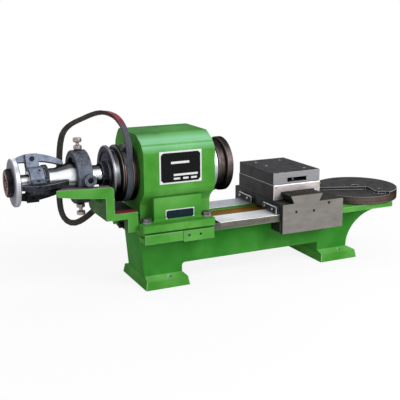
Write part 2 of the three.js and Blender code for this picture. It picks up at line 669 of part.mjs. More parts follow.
// The ring stands turned a little about the spindle, its front boss up
const ringTurned = (solid) => aroundSpindle(solid, THREE.MathUtils.degToRad(ring.turn));

function shiftRing() {
  const hoop = turned([
    [ring.left, ring.inner], [ring.left, ring.outer - ring.bevel], [ring.left + ring.bevel, ring.outer],
    [ring.right - ring.bevel, ring.outer], [ring.right, ring.outer - ring.bevel], [ring.right, ring.inner],
  ], wideSides);
  const bosses = [-1, 1].map((side) => {
    const from = new THREE.Vector3(ring.bossX, side * ring.inner, axisZ);
    const direction = yAxis.clone().multiplyScalar(side);
    return rod(from, direction, ring.bossReach - ring.inner, ring.bossRadius, bossSides);
  });
  const inside = tube(ring.left - over, ring.right + over, 0, ring.inner, wideSides);
  const sockets = [-1, 1].map((side) => {
    const from = new THREE.Vector3(ring.bossX, side * (ring.bossReach - ring.socketDepth), axisZ);
    const direction = yAxis.clone().multiplyScalar(side);
    return rod(from, direction, ring.socketDepth + over, ring.socket, bossSides);
  });
  return ringTurned(cut(join(hoop, ...bosses), inside, ...sockets));
}

// Screw-down grease cups above and below the ring: nut and neck, then the cap that turns
function greaseCup(side) {
  const start = ring.outer + gap;
  const nutTop = start + cup.nutHeight;
  const profile = [
    [start, 0], [start, cup.foot], [start + cup.capBevel, cup.nut], [nutTop - cup.capBevel, cup.nut],
    [nutTop, cup.foot], [nutTop, cup.neck], [nutTop + cup.neckHeight, cup.neck], [nutTop + cup.neckHeight, 0],
  ].map(([z, r]) => [axisZ + side * z, r]);
  return ringTurned(stack(ring.cupX, 0, profile));
}

function greaseCap(side) {
  const start = ring.outer + cup.nutHeight + cup.neckHeight + 2 * gap;
  const profile = [
    [start, 0], [start, cup.foot], [start + cup.capBevel, cup.cap], [start + cup.capHeight - cup.capBevel, cup.cap],
    [start + cup.capHeight, cup.foot], [start + cup.capHeight, 0],
  ].map(([z, r]) => [axisZ + side * z, r]);
  return ringTurned(stack(ring.cupX, 0, profile));
}

// Loose drive belt: it lies in the second groove in front, stands up over the closer, falls
// behind the ring and comes back under the pulley. Points along its middle are [x, y, height
// over the axis].
const grooveX = pulley.left + 2 * pulley.land + pulley.grooveTop + pulley.grooveTop / 2;
const beltRadius = pulley.endRim + gap * 2 - belt.thickness / 2;
const beltArc = [-95, -72, -48, -24, 0, 24].map((degrees) => {
  const angle = THREE.MathUtils.degToRad(degrees);
  return [grooveX, -beltRadius * Math.cos(angle), beltRadius * Math.sin(angle)];
});
const beltLoose = [
  [-231.2, -50, 42], [-231.6, -48.5, 58], [-232.9, -45, 71], [-235.4, -40.5, 85], [-238.4, -33, 96.5],
  [-243.6, -21, 107.5], [-250.5, -9, 113], [-259.5, 3, 115.4], [-270, 13, 113.8], [-281.6, 20.5, 109.2],
  [-293.6, 28, 102.9], [-305.7, 36, 96.5], [-317, 43, 88.1], [-325, 51, 75.6], [-329, 55.5, 59.6],
  [-331.5, 58, 39.6], [-333, 59, 16.6], [-334.5, 58.5, -8.4], [-336.5, 56, -33.4], [-337.2, 54.5, -57],
  [-334.9, 55, -77.4], [-329, 56, -92], [-319.5, 57, -101], [-309, 58.5, -103.4], [-298.1, 60, -101.2],
  [-283.5, 61.5, -94], [-270, 62.5, -84.5], [-259, 63, -75], [-249, 61, -67.5], [-240.5, 56, -61.5],
  [-234.4, 46, -56.4], [-231.8, 30, -52.6], [-231.2, 14, -51.4],
];

function driveBelt() {
  const route = [...beltArc, ...beltLoose].map(([x, y, height]) => new THREE.Vector3(x, y, axisZ + height));
  const curve = new THREE.CatmullRomCurve3(route, true, 'centripetal');
  const places = [];
  const index = [];
  for (let i = 0; i < belt.steps; i += 1) {
    const share = i / belt.steps;
    const point = curve.getPointAt(share);
    const along = curve.getTangentAt(share);
    const away = THREE.MathUtils.smoothstep(Math.abs(point.x - grooveX), 0, belt.spread);
    const outward = new THREE.Vector3((point.x - belt.centreX) * away, point.y, point.z - axisZ);
    outward.addScaledVector(along, -outward.dot(along)).normalize();
    const across = along.clone().cross(outward);
    const corners = [[belt.width, 1], [-belt.width, 1], [-belt.inner, -1], [belt.inner, -1]];
    for (const [width, face] of corners) {
      const corner = point.clone().addScaledVector(across, width / 2);
      corner.addScaledVector(outward, face * belt.thickness / 2);
      places.push(corner.x, corner.y, corner.z);
    }
    const next = (i + 1) % belt.steps;
    for (let k = 0; k < 4; k += 1) {
      const [a, b] = [i * 4 + k, i * 4 + ((k + 1) % 4)];
      const [c, d] = [next * 4 + k, next * 4 + ((k + 1) % 4)];
      index.push(a, b, c, b, d, c);
    }
  }
  const form = new THREE.BufferGeometry();
  form.setAttribute('position', new THREE.BufferAttribute(new Float32Array(places), 3));
  form.setIndex(index);
  return toSolid(form);
}

// Cradle bracket at the closer end: a plate notched round the spindle, an arm in front of the
// ring and a ledge with a block that is screwed to the end of the headstock base
const upright = (points) => points.map(([along, height]) => [along, axisZ + height]);
const screwZ = wayTop + bracket.screwHeight;
const headStart = bracket.blockLeft - gap - socketScrew.headLength;

function yokeShape() {
  const [[notchY, notchZ]] = upright([bracket.notchCentre]);
  const [top, bottom, backTop] = [bracket.top, bracket.bottom, bracket.backTop].map((height) => axisZ + height);
  const back = bracket.heel[bracket.heel.length - 1][0];
  const start = Math.asin((backTop - notchZ) / bracket.notch);
  const corner = bracket.notchFront + bracket.notchCorner;
  const floor = notchZ - bracket.notch;
  const shape = new THREE.Shape();
  shape.moveTo(bracket.front, bottom);
  for (const [y, z] of upright(bracket.heel)) {
    shape.lineTo(y, z);
  }
  shape.lineTo(back, backTop).absarc(notchY, notchZ, bracket.notch, start, -quarterTurn, true);
  shape.lineTo(corner, floor);
  shape.absarc(corner, floor + bracket.notchCorner, bracket.notchCorner, -quarterTurn, -Math.PI, true);
  shape.lineTo(bracket.notchFront, top).lineTo(bracket.front, top);
  return shape;
}

function leverBracket() {
  const { front, postLeft, postRight, armBack, topCorner } = bracket;
  const top = axisZ + bracket.top;
  const ledgeTop = axisZ + bracket.ledgeTop;
  const ledgeBottom = axisZ + bracket.bottom;
  const blockBottom = wayTop - bracket.blockDrop;
  const right = head.baseLeft - gap;
  const yoke = prismX(yokeShape(), postLeft, postRight, cornerSteps);
  const ledge = box(postRight - over, right, front, bracket.ledgeBack, ledgeBottom, ledgeTop);
  const block = box(bracket.blockLeft, right, front, bracket.blockBack, blockBottom, ledgeTop);
  const rib = prismY([
    ...bracket.rib.map(([x, height]) => [x, wayTop + height]), [bracket.blockLeft + over, blockBottom],
    [bracket.blockLeft + over, wayTop + bracket.rib[0][1]],
  ], bracket.ribFront, bracket.ribBack);
  const root = axisZ + bracket.armRoot;
  const arm = prismY([
    ...upright([bracket.armTip, ...bracket.arm]), [postLeft, root], [postRight, root],
    [postRight, top], [postLeft, top],
  ], front, armBack);
  const tipX = bracket.arm[0][0];
  const tip = prismZ([
    [tipX - over, front], [tipX + gap, front], [tipX + bracket.armBevel, armBack],
    [tipX + bracket.armBevel, armBack + over], [tipX - over, armBack + over],
  ], root, top + over);
  const corner = new THREE.Shape();
  corner.moveTo(postRight - topCorner, top + over).lineTo(postRight - topCorner, top);
  corner.absarc(postRight - topCorner, top - topCorner, topCorner, quarterTurn, 0, true);
  corner.lineTo(postRight + over, top - topCorner).lineTo(postRight + over, top + over);
  const rounded = prismY(corner, front - over, bracket.notchFront + over, baseSteps);
  const screws = [bracket.screwFront, bracket.screwBack].map((y) => {
    const from = new THREE.Vector3(bracket.blockLeft - over, y, screwZ);
    return rod(from, xAxis, right - bracket.blockLeft + 2 * over, socketScrew.shank + gap);
  });
  const spots = [bracket.screwFront, bracket.screwBack].map((y) => {
    const from = new THREE.Vector3(headStart - gap, y, screwZ);
    return rod(from, xAxis, socketScrew.headLength + gap + gap / 2, socketScrew.head + gap);
  });
  return cut(join(yoke, ledge, block, rib, cut(arm, tip)), rounded, ...screws, ...spots);
}

function bracketScrew(y) {
  const start = headStart;
  const middle = start + socketScrew.headLength / 2;
  const at = (x) => new THREE.Vector3(x, y, screwZ);
  const cap = rod(at(start), xAxis, socketScrew.headLength, socketScrew.head, smallSides);
  const shank = rod(at(middle), xAxis, head.baseLeft + socketScrew.grip - middle, socketScrew.shank);
  const key = rod(at(start - over), xAxis, over + socketScrew.keyDepth, socketScrew.key, hexSides);
  return cut(join(cap, shank), key);
}

// Carriage
const keepTop = slabBottom - gap;
const tailMiddle = saddleLeft + saddle.tailCentre;

function saddleCasting() {
  const plateBottom = wayTop + gap;
  const frontWall = bed.halfWidth + gap;
  const backWall = bed.halfWidth + gap + saddle.gibThickness + gap;
  const body = prismX([
    [saddle.front, saddle.bottom], [-frontWall, saddle.bottom], [-frontWall, plateBottom], [backWall, plateBottom],
    [backWall, saddle.bottom], [saddle.back, saddle.bottom], [saddle.back, saddle.top], [saddle.front, saddle.top],
  ], saddleLeft, saddleRight);
  const { top, tailBase, tailTop } = saddle;
  const tailHigh = top + saddle.tailHeight;
  const tail = prismY([
    [tailMiddle - tailBase, top - saddle.edge], [tailMiddle + tailBase, top - saddle.edge],
    [tailMiddle + tailBase, top], [tailMiddle + tailTop, tailHigh],
    [tailMiddle - tailTop, tailHigh], [tailMiddle - tailBase, top],
  ], saddle.front, saddle.back);
  const holes = saddle.screws.map(([x, z]) => {
    const at = new THREE.Vector3(saddleLeft + x, saddle.front - over, z);
    return rod(at, yAxis, saddle.screwDepth + over, saddle.screwRadius, screwHoleSides);
  });
  return cut(join(body, tail), ...holes);
}

// Keep plates inside the walls of the saddle hold it down under the ways
function keepPlate(side) {
  const outer = bed.halfWidth + (side < 0 ? 0 : saddle.gibThickness + gap);
  const low = Math.min(side * keep.inner, side * outer);
  const high = Math.max(side * keep.inner, side * outer);
  return box(saddleLeft, saddleRight, low, high, saddle.bottom, keepTop);
}

function saddleGib() {
  const inner = bed.halfWidth + gap;
  return box(saddleLeft + gap, saddleRight - gap, inner, inner + saddle.gibThickness, slabBottom, wayTop);
}

function wiperPlate([y0, y1]) {
  const low = wayTop + gap * 2;
  const corner = low + wiper.height - wiper.corner;
  const outline = new THREE.Shape();
  outline.moveTo(y0, low).lineTo(y1, low).lineTo(y1, corner);
  outline.absarc(y1 - wiper.corner, corner, wiper.corner, 0, quarterTurn);
  outline.lineTo(y0 + wiper.corner, low + wiper.height);
  outline.absarc(y0 + wiper.corner, corner, wiper.corner, quarterTurn, Math.PI);
  return prismX(outline, saddleLeft - gap - wiper.thickness, saddleLeft - gap, cornerSteps);
}

// Cross slide with the female dovetail, its gib and the tool block on top
const slideBottom = saddle.top + gap;
const slideTop = saddle.top + slide.ledge;
const slideLeft = saddleLeft + slide.left;
const slideRight = saddleLeft + slide.right;
const tailLean = (saddle.tailTop - saddle.tailBase) / saddle.tailHeight;

function crossSlide() {
  const roof = saddle.top + saddle.tailHeight + gap;
  const leftBase = tailMiddle - saddle.tailBase - gap * 2;
  const rightBase = tailMiddle + saddle.tailBase + gap * 2 + slide.gibThickness;
  const rise = roof - slideBottom;
  return prismY([
    [slideLeft, slideBottom], [leftBase, slideBottom], [leftBase - rise * tailLean, roof],
    [rightBase + rise * tailLean, roof], [rightBase, slideBottom], [slideRight, slideBottom],
    [slideRight, slideTop], [slideLeft, slideTop],
  ], slide.front, slide.back);
}

function crossGib() {
  const low = slideBottom + gap;
  const high = saddle.top + saddle.tailHeight - gap;
  const lean = (z) => (z - saddle.top) * tailLean;
  const inner = tailMiddle + saddle.tailBase + gap;
  return prismY([
    [inner + lean(low), low], [inner + lean(low) + slide.gibThickness, low],
    [inner + lean(high) + slide.gibThickness, high], [inner + lean(high), high],
  ], slide.front + gap, slide.back - gap);
}

function toolBlock() {
  const top = slideTop + slide.block;
  const { front, back, step, blockInset } = slide;
  const body = box(slideLeft + blockInset, slideRight - blockInset, front + step, back - step, slideTop + gap, top);
  const [x0, x1, low, high] = slide.window;
  const floor = front + slide.windowDepth;
  const window = box(saddleLeft + x0, saddleLeft + x1, front - over, floor, slideTop + low, slideTop + high);
  const holes = slide.holes.map(([x, y]) => {
    const at = new THREE.Vector3(saddleLeft + x, y, top - slide.holeDepth);
    return rod(at, zAxis, slide.holeDepth + over, slide.holeRadius, smallSides);
  });
  return cut(body, window, ...holes);
}

// Round base plate at the tail end, with its lowered front quarter
function tailDisc() {
  const low = wayTop - bed.seatDepth + gap;
  const plate = stack(discX, 0, [
    [low, 0], [low, disc.radius - disc.bevel], [low + disc.bevel, disc.radius],
    [discTop - disc.bevel / 2, disc.radius], [discTop, disc.radius - disc.bevel / 2], [discTop, 0],
  ], discSides);
  const edge = disc.step.map(([x, y]) => [discX + x, y]);
  const reach = disc.radius + over;
  const sunk = prismZ([
    [discX - reach, disc.step[0][1]], ...edge, [discX + disc.stepEnd + over, -reach], [discX - reach, -reach],
  ], discTop - disc.stepDrop, discTop + over);
  const at = (z) => new THREE.Vector3(discX, 0, z);
  const shank = rod(at(low - over), zAxis, discTop, disc.boltShank + gap);
  const seatDepth = disc.boltHeadDepth + over;
  const seat = rod(at(discTop - disc.boltHeadDepth), zAxis, seatDepth, disc.boltHead + gap, smallSides);
  const [plugX, plugY] = disc.plug;
  const plugFrom = new THREE.Vector3(discX + plugX, plugY, discTop - disc.plugDepth);
  const plug = rod(plugFrom, zAxis, disc.plugDepth + over, disc.plugRadius);
  return cut(plate, sunk, shank, seat, plug);
}

function discBolt() {
  const seat = discTop - disc.boltHeadDepth + gap;
  const at = (z) => new THREE.Vector3(discX, 0, z);
  const cap = rod(at(seat), zAxis, disc.boltHeadDepth - gap * 4, disc.boltHead, smallSides);
  const foot = wayTop - bed.seatDepth - disc.grip + gap;
  const shank = rod(at(foot), zAxis, seat - foot + gap, disc.boltShank);
  const key = rod(at(discTop - gap * 3 - disc.keyDepth), zAxis, disc.keyDepth + over, disc.key, hexSides);
  return cut(join(cap, shank), key);
}

// The assembly
const lathe = new THREE.Group();
function add(name, solid, material) {
  lathe.add(toMesh(name, solid, material));
}

add('bed_casting', bedCasting(), green);
add('headstock_casting', headstockCasting(), green);
add('front_clamp_left', headClamp(clamp.left, clamp.split, -1, clamp.leftThickness), green);
add('front_clamp_right', frontRightClamp(), green);
add('rear_clamp', headClamp(clamp.left, clamp.right, 1, clamp.leftThickness), green);
for (const [end, x] of [['left', bolt.left], ['right', bolt.right]]) {
  add(`hold_down_bolt_front_${end}`, holdDownBolt(x, -1), plateSteel);
  add(`hold_down_bolt_rear_${end}`, holdDownBolt(x, 1), plateSteel);
}

add('rear_bearing_outer_ring', outerRace(rearBearing), groundSteel);
add('rear_bearing_inner_ring', innerRace(rearBearing), groundSteel);
add('front_bearing_outer_ring', outerRace(frontBearing), groundSteel);
add('front_bearing_inner_ring', innerRace(frontBearing), groundSteel);
add('rear_bearing_cover', rearCover(), darkSteel);
add('front_bearing_cover', frontCover(), polished);

add('spindle', spindleShaft(), polished);
add('nose_flange', noseFlange(), brownIron);
add('collet', springCollet(), groundSteel);
const tubeSolid = tube(drawTube.left, drawTube.right, drawTube.bore, drawTube.outer, midSides);
add('draw_tube', tubeSolid, polished);
add('spindle_pulley', spindlePulley(), oiledIron);
const lockRight = pulley.left - gap;
add('pulley_lock_nut', slottedNut(lockRight - lockNut.width, lockRight, spindle.seat + gap, lockNut, 0), phosphate);
add('drive_belt', driveBelt(), beltRubber);

add('finger_carrier', fingerCarrier(), phosphate);
const nutBore = spindle.tail + gap;
const nutTurn = Math.PI / hexSides;
add('carrier_lock_nut', slottedNut(carrierNut.left, carrierNut.right, nutBore, carrierNut, nutTurn), blackOxide);
for (let i = 0; i < finger.count; i += 1) {
  const angle = fingerAngle(i);
  add(`closer_finger_${i + 1}`, closerFinger(angle), phosphate);
  add(`finger_pin_${i + 1}`, fingerPin(angle), darkSteel);
}
add('closer_end_plate', closerEndPlate(), plateSteel);
add('closer_nut', closerNut(), blackOxide);

add('shift_cone', shiftCone(), polished);
add('shift_race', shiftRace(), groundSteel);
add('shift_ring', shiftRing(), phosphate);
for (const [place, side] of [['top', 1], ['bottom', -1]]) {
  add(`grease_cup_${place}`, greaseCup(side), plateSteel);
  add(`grease_cap_${place}`, greaseCap(side), plateSteel);
}

add('lever_bracket', leverBracket(), green);
add('bracket_screw_front', bracketScrew(bracket.screwFront), blackOxide);
add('bracket_screw_rear', bracketScrew(bracket.screwBack), blackOxide);

add('saddle', saddleCasting(), groundSteel);
add('keep_plate_front', keepPlate(-1), groundSteel);
add('keep_plate_rear', keepPlate(1), groundSteel);
add('saddle_gib', saddleGib(), darkSteel);
add('way_wiper_front', wiperPlate(wiper.front), darkSteel);
add('way_wiper_rear', wiperPlate(wiper.rear), darkSteel);
add('cross_slide', crossSlide(), groundSteel);
add('cross_slide_gib', crossGib(), darkSteel);
add('tool_block', toolBlock(), groundSteel);

add('tail_disc', tailDisc(), darkSteel);
add('disc_bolt', discBolt(), blackOxide);

const bounds = new THREE.Box3().setFromObject(lathe);
const centre = bounds.getCenter(new THREE.Vector3());
lathe.position.set(-centre.x, -centre.y, -bounds.min.z);
lathe.updateMatrixWorld(true);

export default lathe;
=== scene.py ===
import json
import math

import bmesh
import bpy
from mathutils import Matrix, Vector


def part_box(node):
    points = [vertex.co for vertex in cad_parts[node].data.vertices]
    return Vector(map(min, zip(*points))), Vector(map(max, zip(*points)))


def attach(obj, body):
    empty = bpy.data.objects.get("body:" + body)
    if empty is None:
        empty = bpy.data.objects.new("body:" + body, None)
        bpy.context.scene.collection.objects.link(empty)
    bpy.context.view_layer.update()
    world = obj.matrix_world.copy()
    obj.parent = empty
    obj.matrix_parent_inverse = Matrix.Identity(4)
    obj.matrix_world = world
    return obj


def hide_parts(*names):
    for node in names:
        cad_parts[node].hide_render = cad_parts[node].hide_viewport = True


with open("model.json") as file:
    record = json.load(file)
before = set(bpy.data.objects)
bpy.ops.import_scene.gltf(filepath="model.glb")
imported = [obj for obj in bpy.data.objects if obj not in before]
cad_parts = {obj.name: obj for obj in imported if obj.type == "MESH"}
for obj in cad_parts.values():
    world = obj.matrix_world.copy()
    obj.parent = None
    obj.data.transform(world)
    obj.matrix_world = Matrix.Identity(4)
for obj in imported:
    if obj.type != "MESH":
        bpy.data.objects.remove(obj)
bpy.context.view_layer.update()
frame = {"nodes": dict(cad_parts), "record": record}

# Places are millimetres from a floor point under the spindle's axis, a little beyond the face of
# the nose flange, with x to the tail end and y to the back.
MM = 0.001
FACE_SETBACK = 16.5
flange_low, flange_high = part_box("nose_flange")
ORIGIN = Vector((flange_high.x + FACE_SETBACK * MM, (flange_low.y + flange_high.y) / 2, 0))
AXIS = (flange_low.z + flange_high.z) / 2 / MM
SPINDLE = Vector((0, 0, AXIS))
TO_FRAME = Matrix.Translation(ORIGIN) @ Matrix.Scale(MM, 4)
FROM_FRAME = TO_FRAME.inverted()
FULL = 2 * math.pi
X, Y, Z = Vector((1, 0, 0)), Vector((0, 1, 0)), Vector((0, 0, 1))

record = frame["record"]
BODY_OF = {node: body for body, nodes in record["behaviour"]["bodies"].items() for node in nodes}
WAY_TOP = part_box("bed_casting")[1].z / MM


# Materials
def linear(code):
    """An sRGB hex colour as the linear colour that a socket holds."""
    shares = [int(code[i:i + 2], 16) / 255 for i in (1, 3, 5)]
    return tuple(s / 12.92 if s <= 0.04045 else ((s + 0.055) / 1.055) ** 2.4 for s in shares) + (1,)


def feed(tree, node, inputs):
    """Gives a node's sockets a value, a hex colour or what comes out of another node."""
    for name, value in inputs.items():
        if isinstance(value, bpy.types.NodeSocket):
            tree.links.new(value, node.inputs[name])
        else:
            node.inputs[name].default_value = linear(value) if isinstance(value, str) else value


def add(tree, kind, inputs=(), output=0, **settings):
    """Adds a node with its settings and what its sockets take, and gives one of its outputs."""
    made = tree.nodes.new("ShaderNode" + kind)
    for name, value in settings.items():
        setattr(made, name, value)
    feed(tree, made, dict(inputs))
    return made.outputs[output]


def per(size):
    """The texture scale at which a pattern repeats about every size millimetres."""
    return 1 / (size * MM)


def pattern(place, size, detail=3.0, rough=0.55):
    """What a noise takes to have lumps about size millimetres across."""
    return {"Vector": place, "Scale": per(size), "Detail": detail, "Roughness": rough}


def span(value, low, high, start=0.0, end=1.0):
    """What a range takes to turn low to high into start to end, held at both."""
    return {"Value": value, "From Min": low, "From Max": high, "To Min": start, "To Max": end}


def surface(name, **sockets):
    """A new material with its shader's own sockets set, and the place on the object."""
    material = bpy.data.materials.new(name)
    material.use_nodes = True
    tree = material.node_tree
    shader = tree.nodes["Principled BSDF"]
    feed(tree, shader, {socket.replace("_", " "): value for socket, value in sockets.items()})
    return material, tree, shader, add(tree, "TexCoord", output="Object")


def patches(tree, place, size, low, high, most=1.0, least=0.0, detail=6.0, rough=0.55):
    """The share, from least to most, of what lies in patches about size millimetres across."""
    field = add(tree, "TexNoise", pattern(place, size, detail, rough))
    return add(tree, "MapRange", span(field, low, high, least, most))


def drawn(tree, place, sizes, detail, rough=0.55):
    """A grain of these lengths in millimetres along x, y and z, as a brush or a wheel leaves."""
    stretched = add(tree, "Mapping", {"Vector": place, "Scale": tuple(per(size) for size in sizes)})
    return add(tree, "TexNoise", {"Vector": stretched, "Scale": 1.0, "Detail": detail, "Roughness": rough})


def rings(tree, place, turned_about):
    """Place along a turning axis and distance from it, which are the same all round a ring."""
    centre, order = turned_about
    at = add(tree, "Mapping", {"Vector": place, "Location": tuple(-c for c in centre)})
    parts = add(tree, "SeparateXYZ", {"Vector": at}).node.outputs
    along, one, other = (parts[axis] for axis in order)
    flat = add(tree, "CombineXYZ", {"X": one, "Y": other})
    radius = add(tree, "VectorMath", {0: flat}, "Value", operation="LENGTH")
    return add(tree, "CombineXYZ", {"X": along, "Y": radius})


# A colour Mix has several sockets of each name, so these are told by number
SHARE, UNDER, OVER, MIXED = 0, 6, 7, 2


def layered(tree, tone, *coats):
    """The tone with coats laid over it in turn, each a share and a colour."""
    for share, colour in coats:
        tone = add(tree, "Mix", {SHARE: share, UNDER: tone, OVER: colour}, MIXED, data_type="RGBA")
    return tone


def wear_and_highlight_edges(tree):
    """1 on the rounded edges that eased() marks, 0 elsewhere."""
    return add(tree, "Attribute", output="Fac", attribute_name="edge")


def shaded(tree, tone, shade_below, shade_above=0.0):
    """The tone with painted reflection: darker by a share where the surface looks down, and by another
    where it looks straight up, as polished metal mirrors dark things below and above it."""
    facing = add(tree, "NewGeometry", output="Normal")
    upward = add(tree, "SeparateXYZ", {"Vector": facing}, "Z")
    low = add(tree, "MapRange", span(upward, -0.35, -0.06, shade_below, 0))
    high = add(tree, "MapRange", span(upward, 0.66, 0.78, 0, shade_above))
    share = add(tree, "Math", {0: low, 1: high}, operation="MAXIMUM")
    # 101011 is the dark colour of the painted reflection and shade
    return layered(tree, tone, (share, "#101011"))


def machine_enamel(name, light, dark, grime, chip="#b9b5a4"):
    """Machine enamel brushed over cast iron: satin gloss, brush drag, a trace of casting lumps
    under it, grime that settles in patches, a painted pale highlight on eased edges and on the
    rounds that are marked for it, and edges knocked through to filler."""
    material, tree, shader, place = surface(name, Specular_IOR_Level=0.005)
    lumps = add(tree, "TexNoise", pattern(place, 26))
    film = patches(tree, place, size=70, low=0.35, high=0.68, detail=2)
    dirt = patches(tree, place, size=38, low=0.56, high=0.8, most=0.55, rough=0.7)
    edge = wear_and_highlight_edges(tree)
    # Painted highlight: a pale mint over the eased edges and the marked rounds
    painted_highlight = add(tree, "Attribute", output="Fac", attribute_name="painted_highlight")
    highlight_places = add(tree, "Math", {0: edge, 1: painted_highlight}, operation="MAXIMUM")
    highlight_share = add(tree, "MapRange", span(highlight_places, 0, 1, 0, 0.75))
    knocks = patches(tree, place, size=7, low=0.5, high=0.56, detail=5, rough=0.7)
    bare = add(tree, "Math", {0: edge, 1: knocks}, operation="MULTIPLY")
    drag = drawn(tree, place, (18, 18, 1.6), 2)
    normal = add(tree, "Bump", {"Height": lumps, "Strength": 0.5, "Distance": 0.5 * MM})
    normal = add(tree, "Bump", {"Height": drag, "Strength": 0.5, "Distance": 0.03 * MM, "Normal": normal})
    normal = add(tree, "Bump", {"Height": bare, "Strength": 0.6, "Distance": -0.15 * MM, "Normal": normal})
    feed(tree, shader, {
        "Base Color": layered(tree, dark, (film, light), (dirt, grime), (highlight_share, "#98d6ac"), (bare, chip)),
        "Roughness": add(tree, "MapRange", span(lumps, 0.3, 0.7, 0.3, 0.42)),
        "Normal": normal,
    })
    return material


def primer_with_painted_shadow(name, red, shadow_colour):
    """Red oxide primer with the pulley's shadow painted over it nearly black, leaving the red along
    the front edge."""
    material, tree, shader, place = surface(name, Roughness=0.6, Specular_IOR_Level=0.2)
    depth = add(tree, "SeparateXYZ", {"Vector": place}, "Y")
    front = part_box("lever_bracket")[0].y
    field = add(tree, "TexNoise", pattern(place, 8, 4))
    ragged = add(tree, "Math", {0: field, 1: 8 * MM}, operation="MULTIPLY")
    reach = add(tree, "Math", {0: depth, 1: ragged}, operation="ADD")
    # Painted shadow of the pulley, from a ragged line behind the front edge to the back
    oiled = add(tree, "MapRange", span(reach, front + 18 * MM, front + 34 * MM))
    feed(tree, shader, {"Base Color": layered(tree, red, (oiled, shadow_colour))})
    return material


def ground_metal(name, light, dark, stain, grain, roughness, stained, rub=None, metal=1.0):
    """Steel or iron off the surface grinder or the mill: fine straight lines the way the table
    ran, darker finger and oil stains that have sat on it, and rubbed edges."""
    material, tree, shader, place = surface(name, Metallic=metal, Specular_IOR_Level=0.05)
    lines = drawn(tree, place, grain, 3, 0.6)
    cut = add(tree, "MapRange", span(lines, 0.32, 0.7))
    patch = patches(tree, place, size=30, low=0.5, high=0.74, most=stained, rough=0.65)
    rubbed = add(tree, "MapRange", span(wear_and_highlight_edges(tree), 0, 1, 0, 0.85))
    tone = layered(tree, dark, (cut, light), (patch, stain), (rubbed, rub or light))
    feed(tree, shader, {
        "Base Color": tone,
        "Specular Tint": tone,
        "Roughness": add(tree, "MapRange", span(patch, 0, stained, roughness, roughness + 0.22)),
        "Normal": add(tree, "Bump", {"Height": lines, "Strength": 0.6, "Distance": 0.02 * MM}),
    })
    return material


# What a turned finish runs about: a point on its axis, and the axes along it and across it
SPINDLE_LINE = ((0, ORIGIN.y, AXIS * MM), "XYZ")
DISC_CENTRE = tuple((low + high) / 2 for low, high in zip(*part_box("tail_disc")))
DISC_LINE = (DISC_CENTRE, "ZXY")


def turned_metal(name, light, dark, stain, pitch, roughness, stained, shade_below=0.0, shade_above=0.0,
                 rub=None, metal=1.0, turned_about=SPINDLE_LINE):
    """Metal off the lathe tool: fine rings round its axis, some brighter where something rubs,
    with oil and brown film in patches, and painted reflection that darkens it where it looks down
    and where it looks straight up. The pitch is drawn coarser than the tool's, to show."""
    material, tree, shader, place = surface(name, Metallic=metal, Specular_IOR_Level=0.05)
    lay = rings(tree, place, turned_about)
    fine = add(tree, "TexNoise", pattern(lay, pitch, 2, 0.6))
    broad = add(tree, "TexNoise", pattern(lay, pitch * 12, 2, 0.5))
    both = add(tree, "Math", {0: fine, 1: broad}, operation="ADD")
    cut = add(tree, "MapRange", span(both, 0.8, 1.25))
    patch = patches(tree, place, size=22, low=0.48, high=0.75, most=stained, rough=0.65)
    rubbed = add(tree, "MapRange", span(wear_and_highlight_edges(tree), 0, 1, 0, 0.85))
    tone = layered(tree, dark, (cut, light), (patch, stain), (rubbed, rub or light))
    tone = shaded(tree, tone, shade_below, shade_above)
    feed(tree, shader, {
        "Base Color": tone,
        "Specular Tint": tone,
        "Roughness": add(tree, "MapRange", span(patch, 0, stained, roughness, roughness + 0.2)),
        "Normal": add(tree, "Bump", {"Height": fine, "Strength": 0.6, "Distance": 0.015 * MM}),
    })
    return material


# Heights between which the painted shade under the spindle fades out
SHADE_LOW = (AXIS - 21) * MM
SHADE_HIGH = (AXIS - 12) * MM


# oily is the share of painted shade below the spindle's axis
def phosphated_steel(name, light, dark, rub, roughness=0.5, oily=0.88):
    """Manganese phosphated and oiled steel: a matt blue-grey skin of fine crystals that is
    mottled by oil and rubbed paler on the edges. What hangs below the spindle is painted nearly
    black, and faces that look down are painted darker, as painted shade. The crystals are drawn
    far coarser than real ones, to show."""
    material, tree, shader, place = surface(name, Metallic=0.55, Specular_IOR_Level=0.5)
    mottle = add(tree, "TexNoise", pattern(place, 9, 6, 0.7))
    skin = add(tree, "MapRange", span(mottle, 0.36, 0.66))
    rubbed = patches(tree, place, size=4, low=0.35, high=0.6, most=0.85, least=0.3, detail=4)
    worn = add(tree, "Math", {0: wear_and_highlight_edges(tree), 1: rubbed}, operation="MULTIPLY")
    height = add(tree, "SeparateXYZ", {"Vector": place}, "Z")
    # Painted shade below the spindle's axis
    oil = add(tree, "MapRange", span(height, SHADE_LOW, SHADE_HIGH, oily, 0))
    tone = layered(tree, dark, (skin, light), (worn, rub), (oil, "#1a1a1c"))
    tone = shaded(tree, tone, 0.8)
    crystals = add(tree, "TexNoise", pattern(place, 0.7))
    feed(tree, shader, {
        "Base Color": tone,
        "Specular Tint": tone,
        "Roughness": add(tree, "MapRange", span(mottle, 0.3, 0.7, roughness - 0.1, roughness + 0.1)),
        "Normal": add(tree, "Bump", {"Height": crystals, "Strength": 0.4, "Distance": 0.03 * MM}),
    })
    return material


def wrapped_rubber(name, light, dark, thread):
    """Rubber under a woven cover: dull, with a fine weave that shows as small lumps, and wear
    from the pulley in patches."""
    material, tree, shader, place = surface(name, Roughness=0.62, Specular_IOR_Level=0.3)
    weave = add(tree, "TexNoise", pattern(place, thread, 2))
    wear = add(tree, "TexNoise", pattern(place, 16, 4))
    both = add(tree, "Math", {0: weave, 1: wear}, operation="ADD")
    worn = add(tree, "MapRange", span(both, 0.75, 1.25))
    feed(tree, shader, {
        "Base Color": layered(tree, dark, (worn, light)),
        "Normal": add(tree, "Bump", {"Height": weave, "Strength": 0.6, "Distance": 0.2 * MM}),
    })
    return material


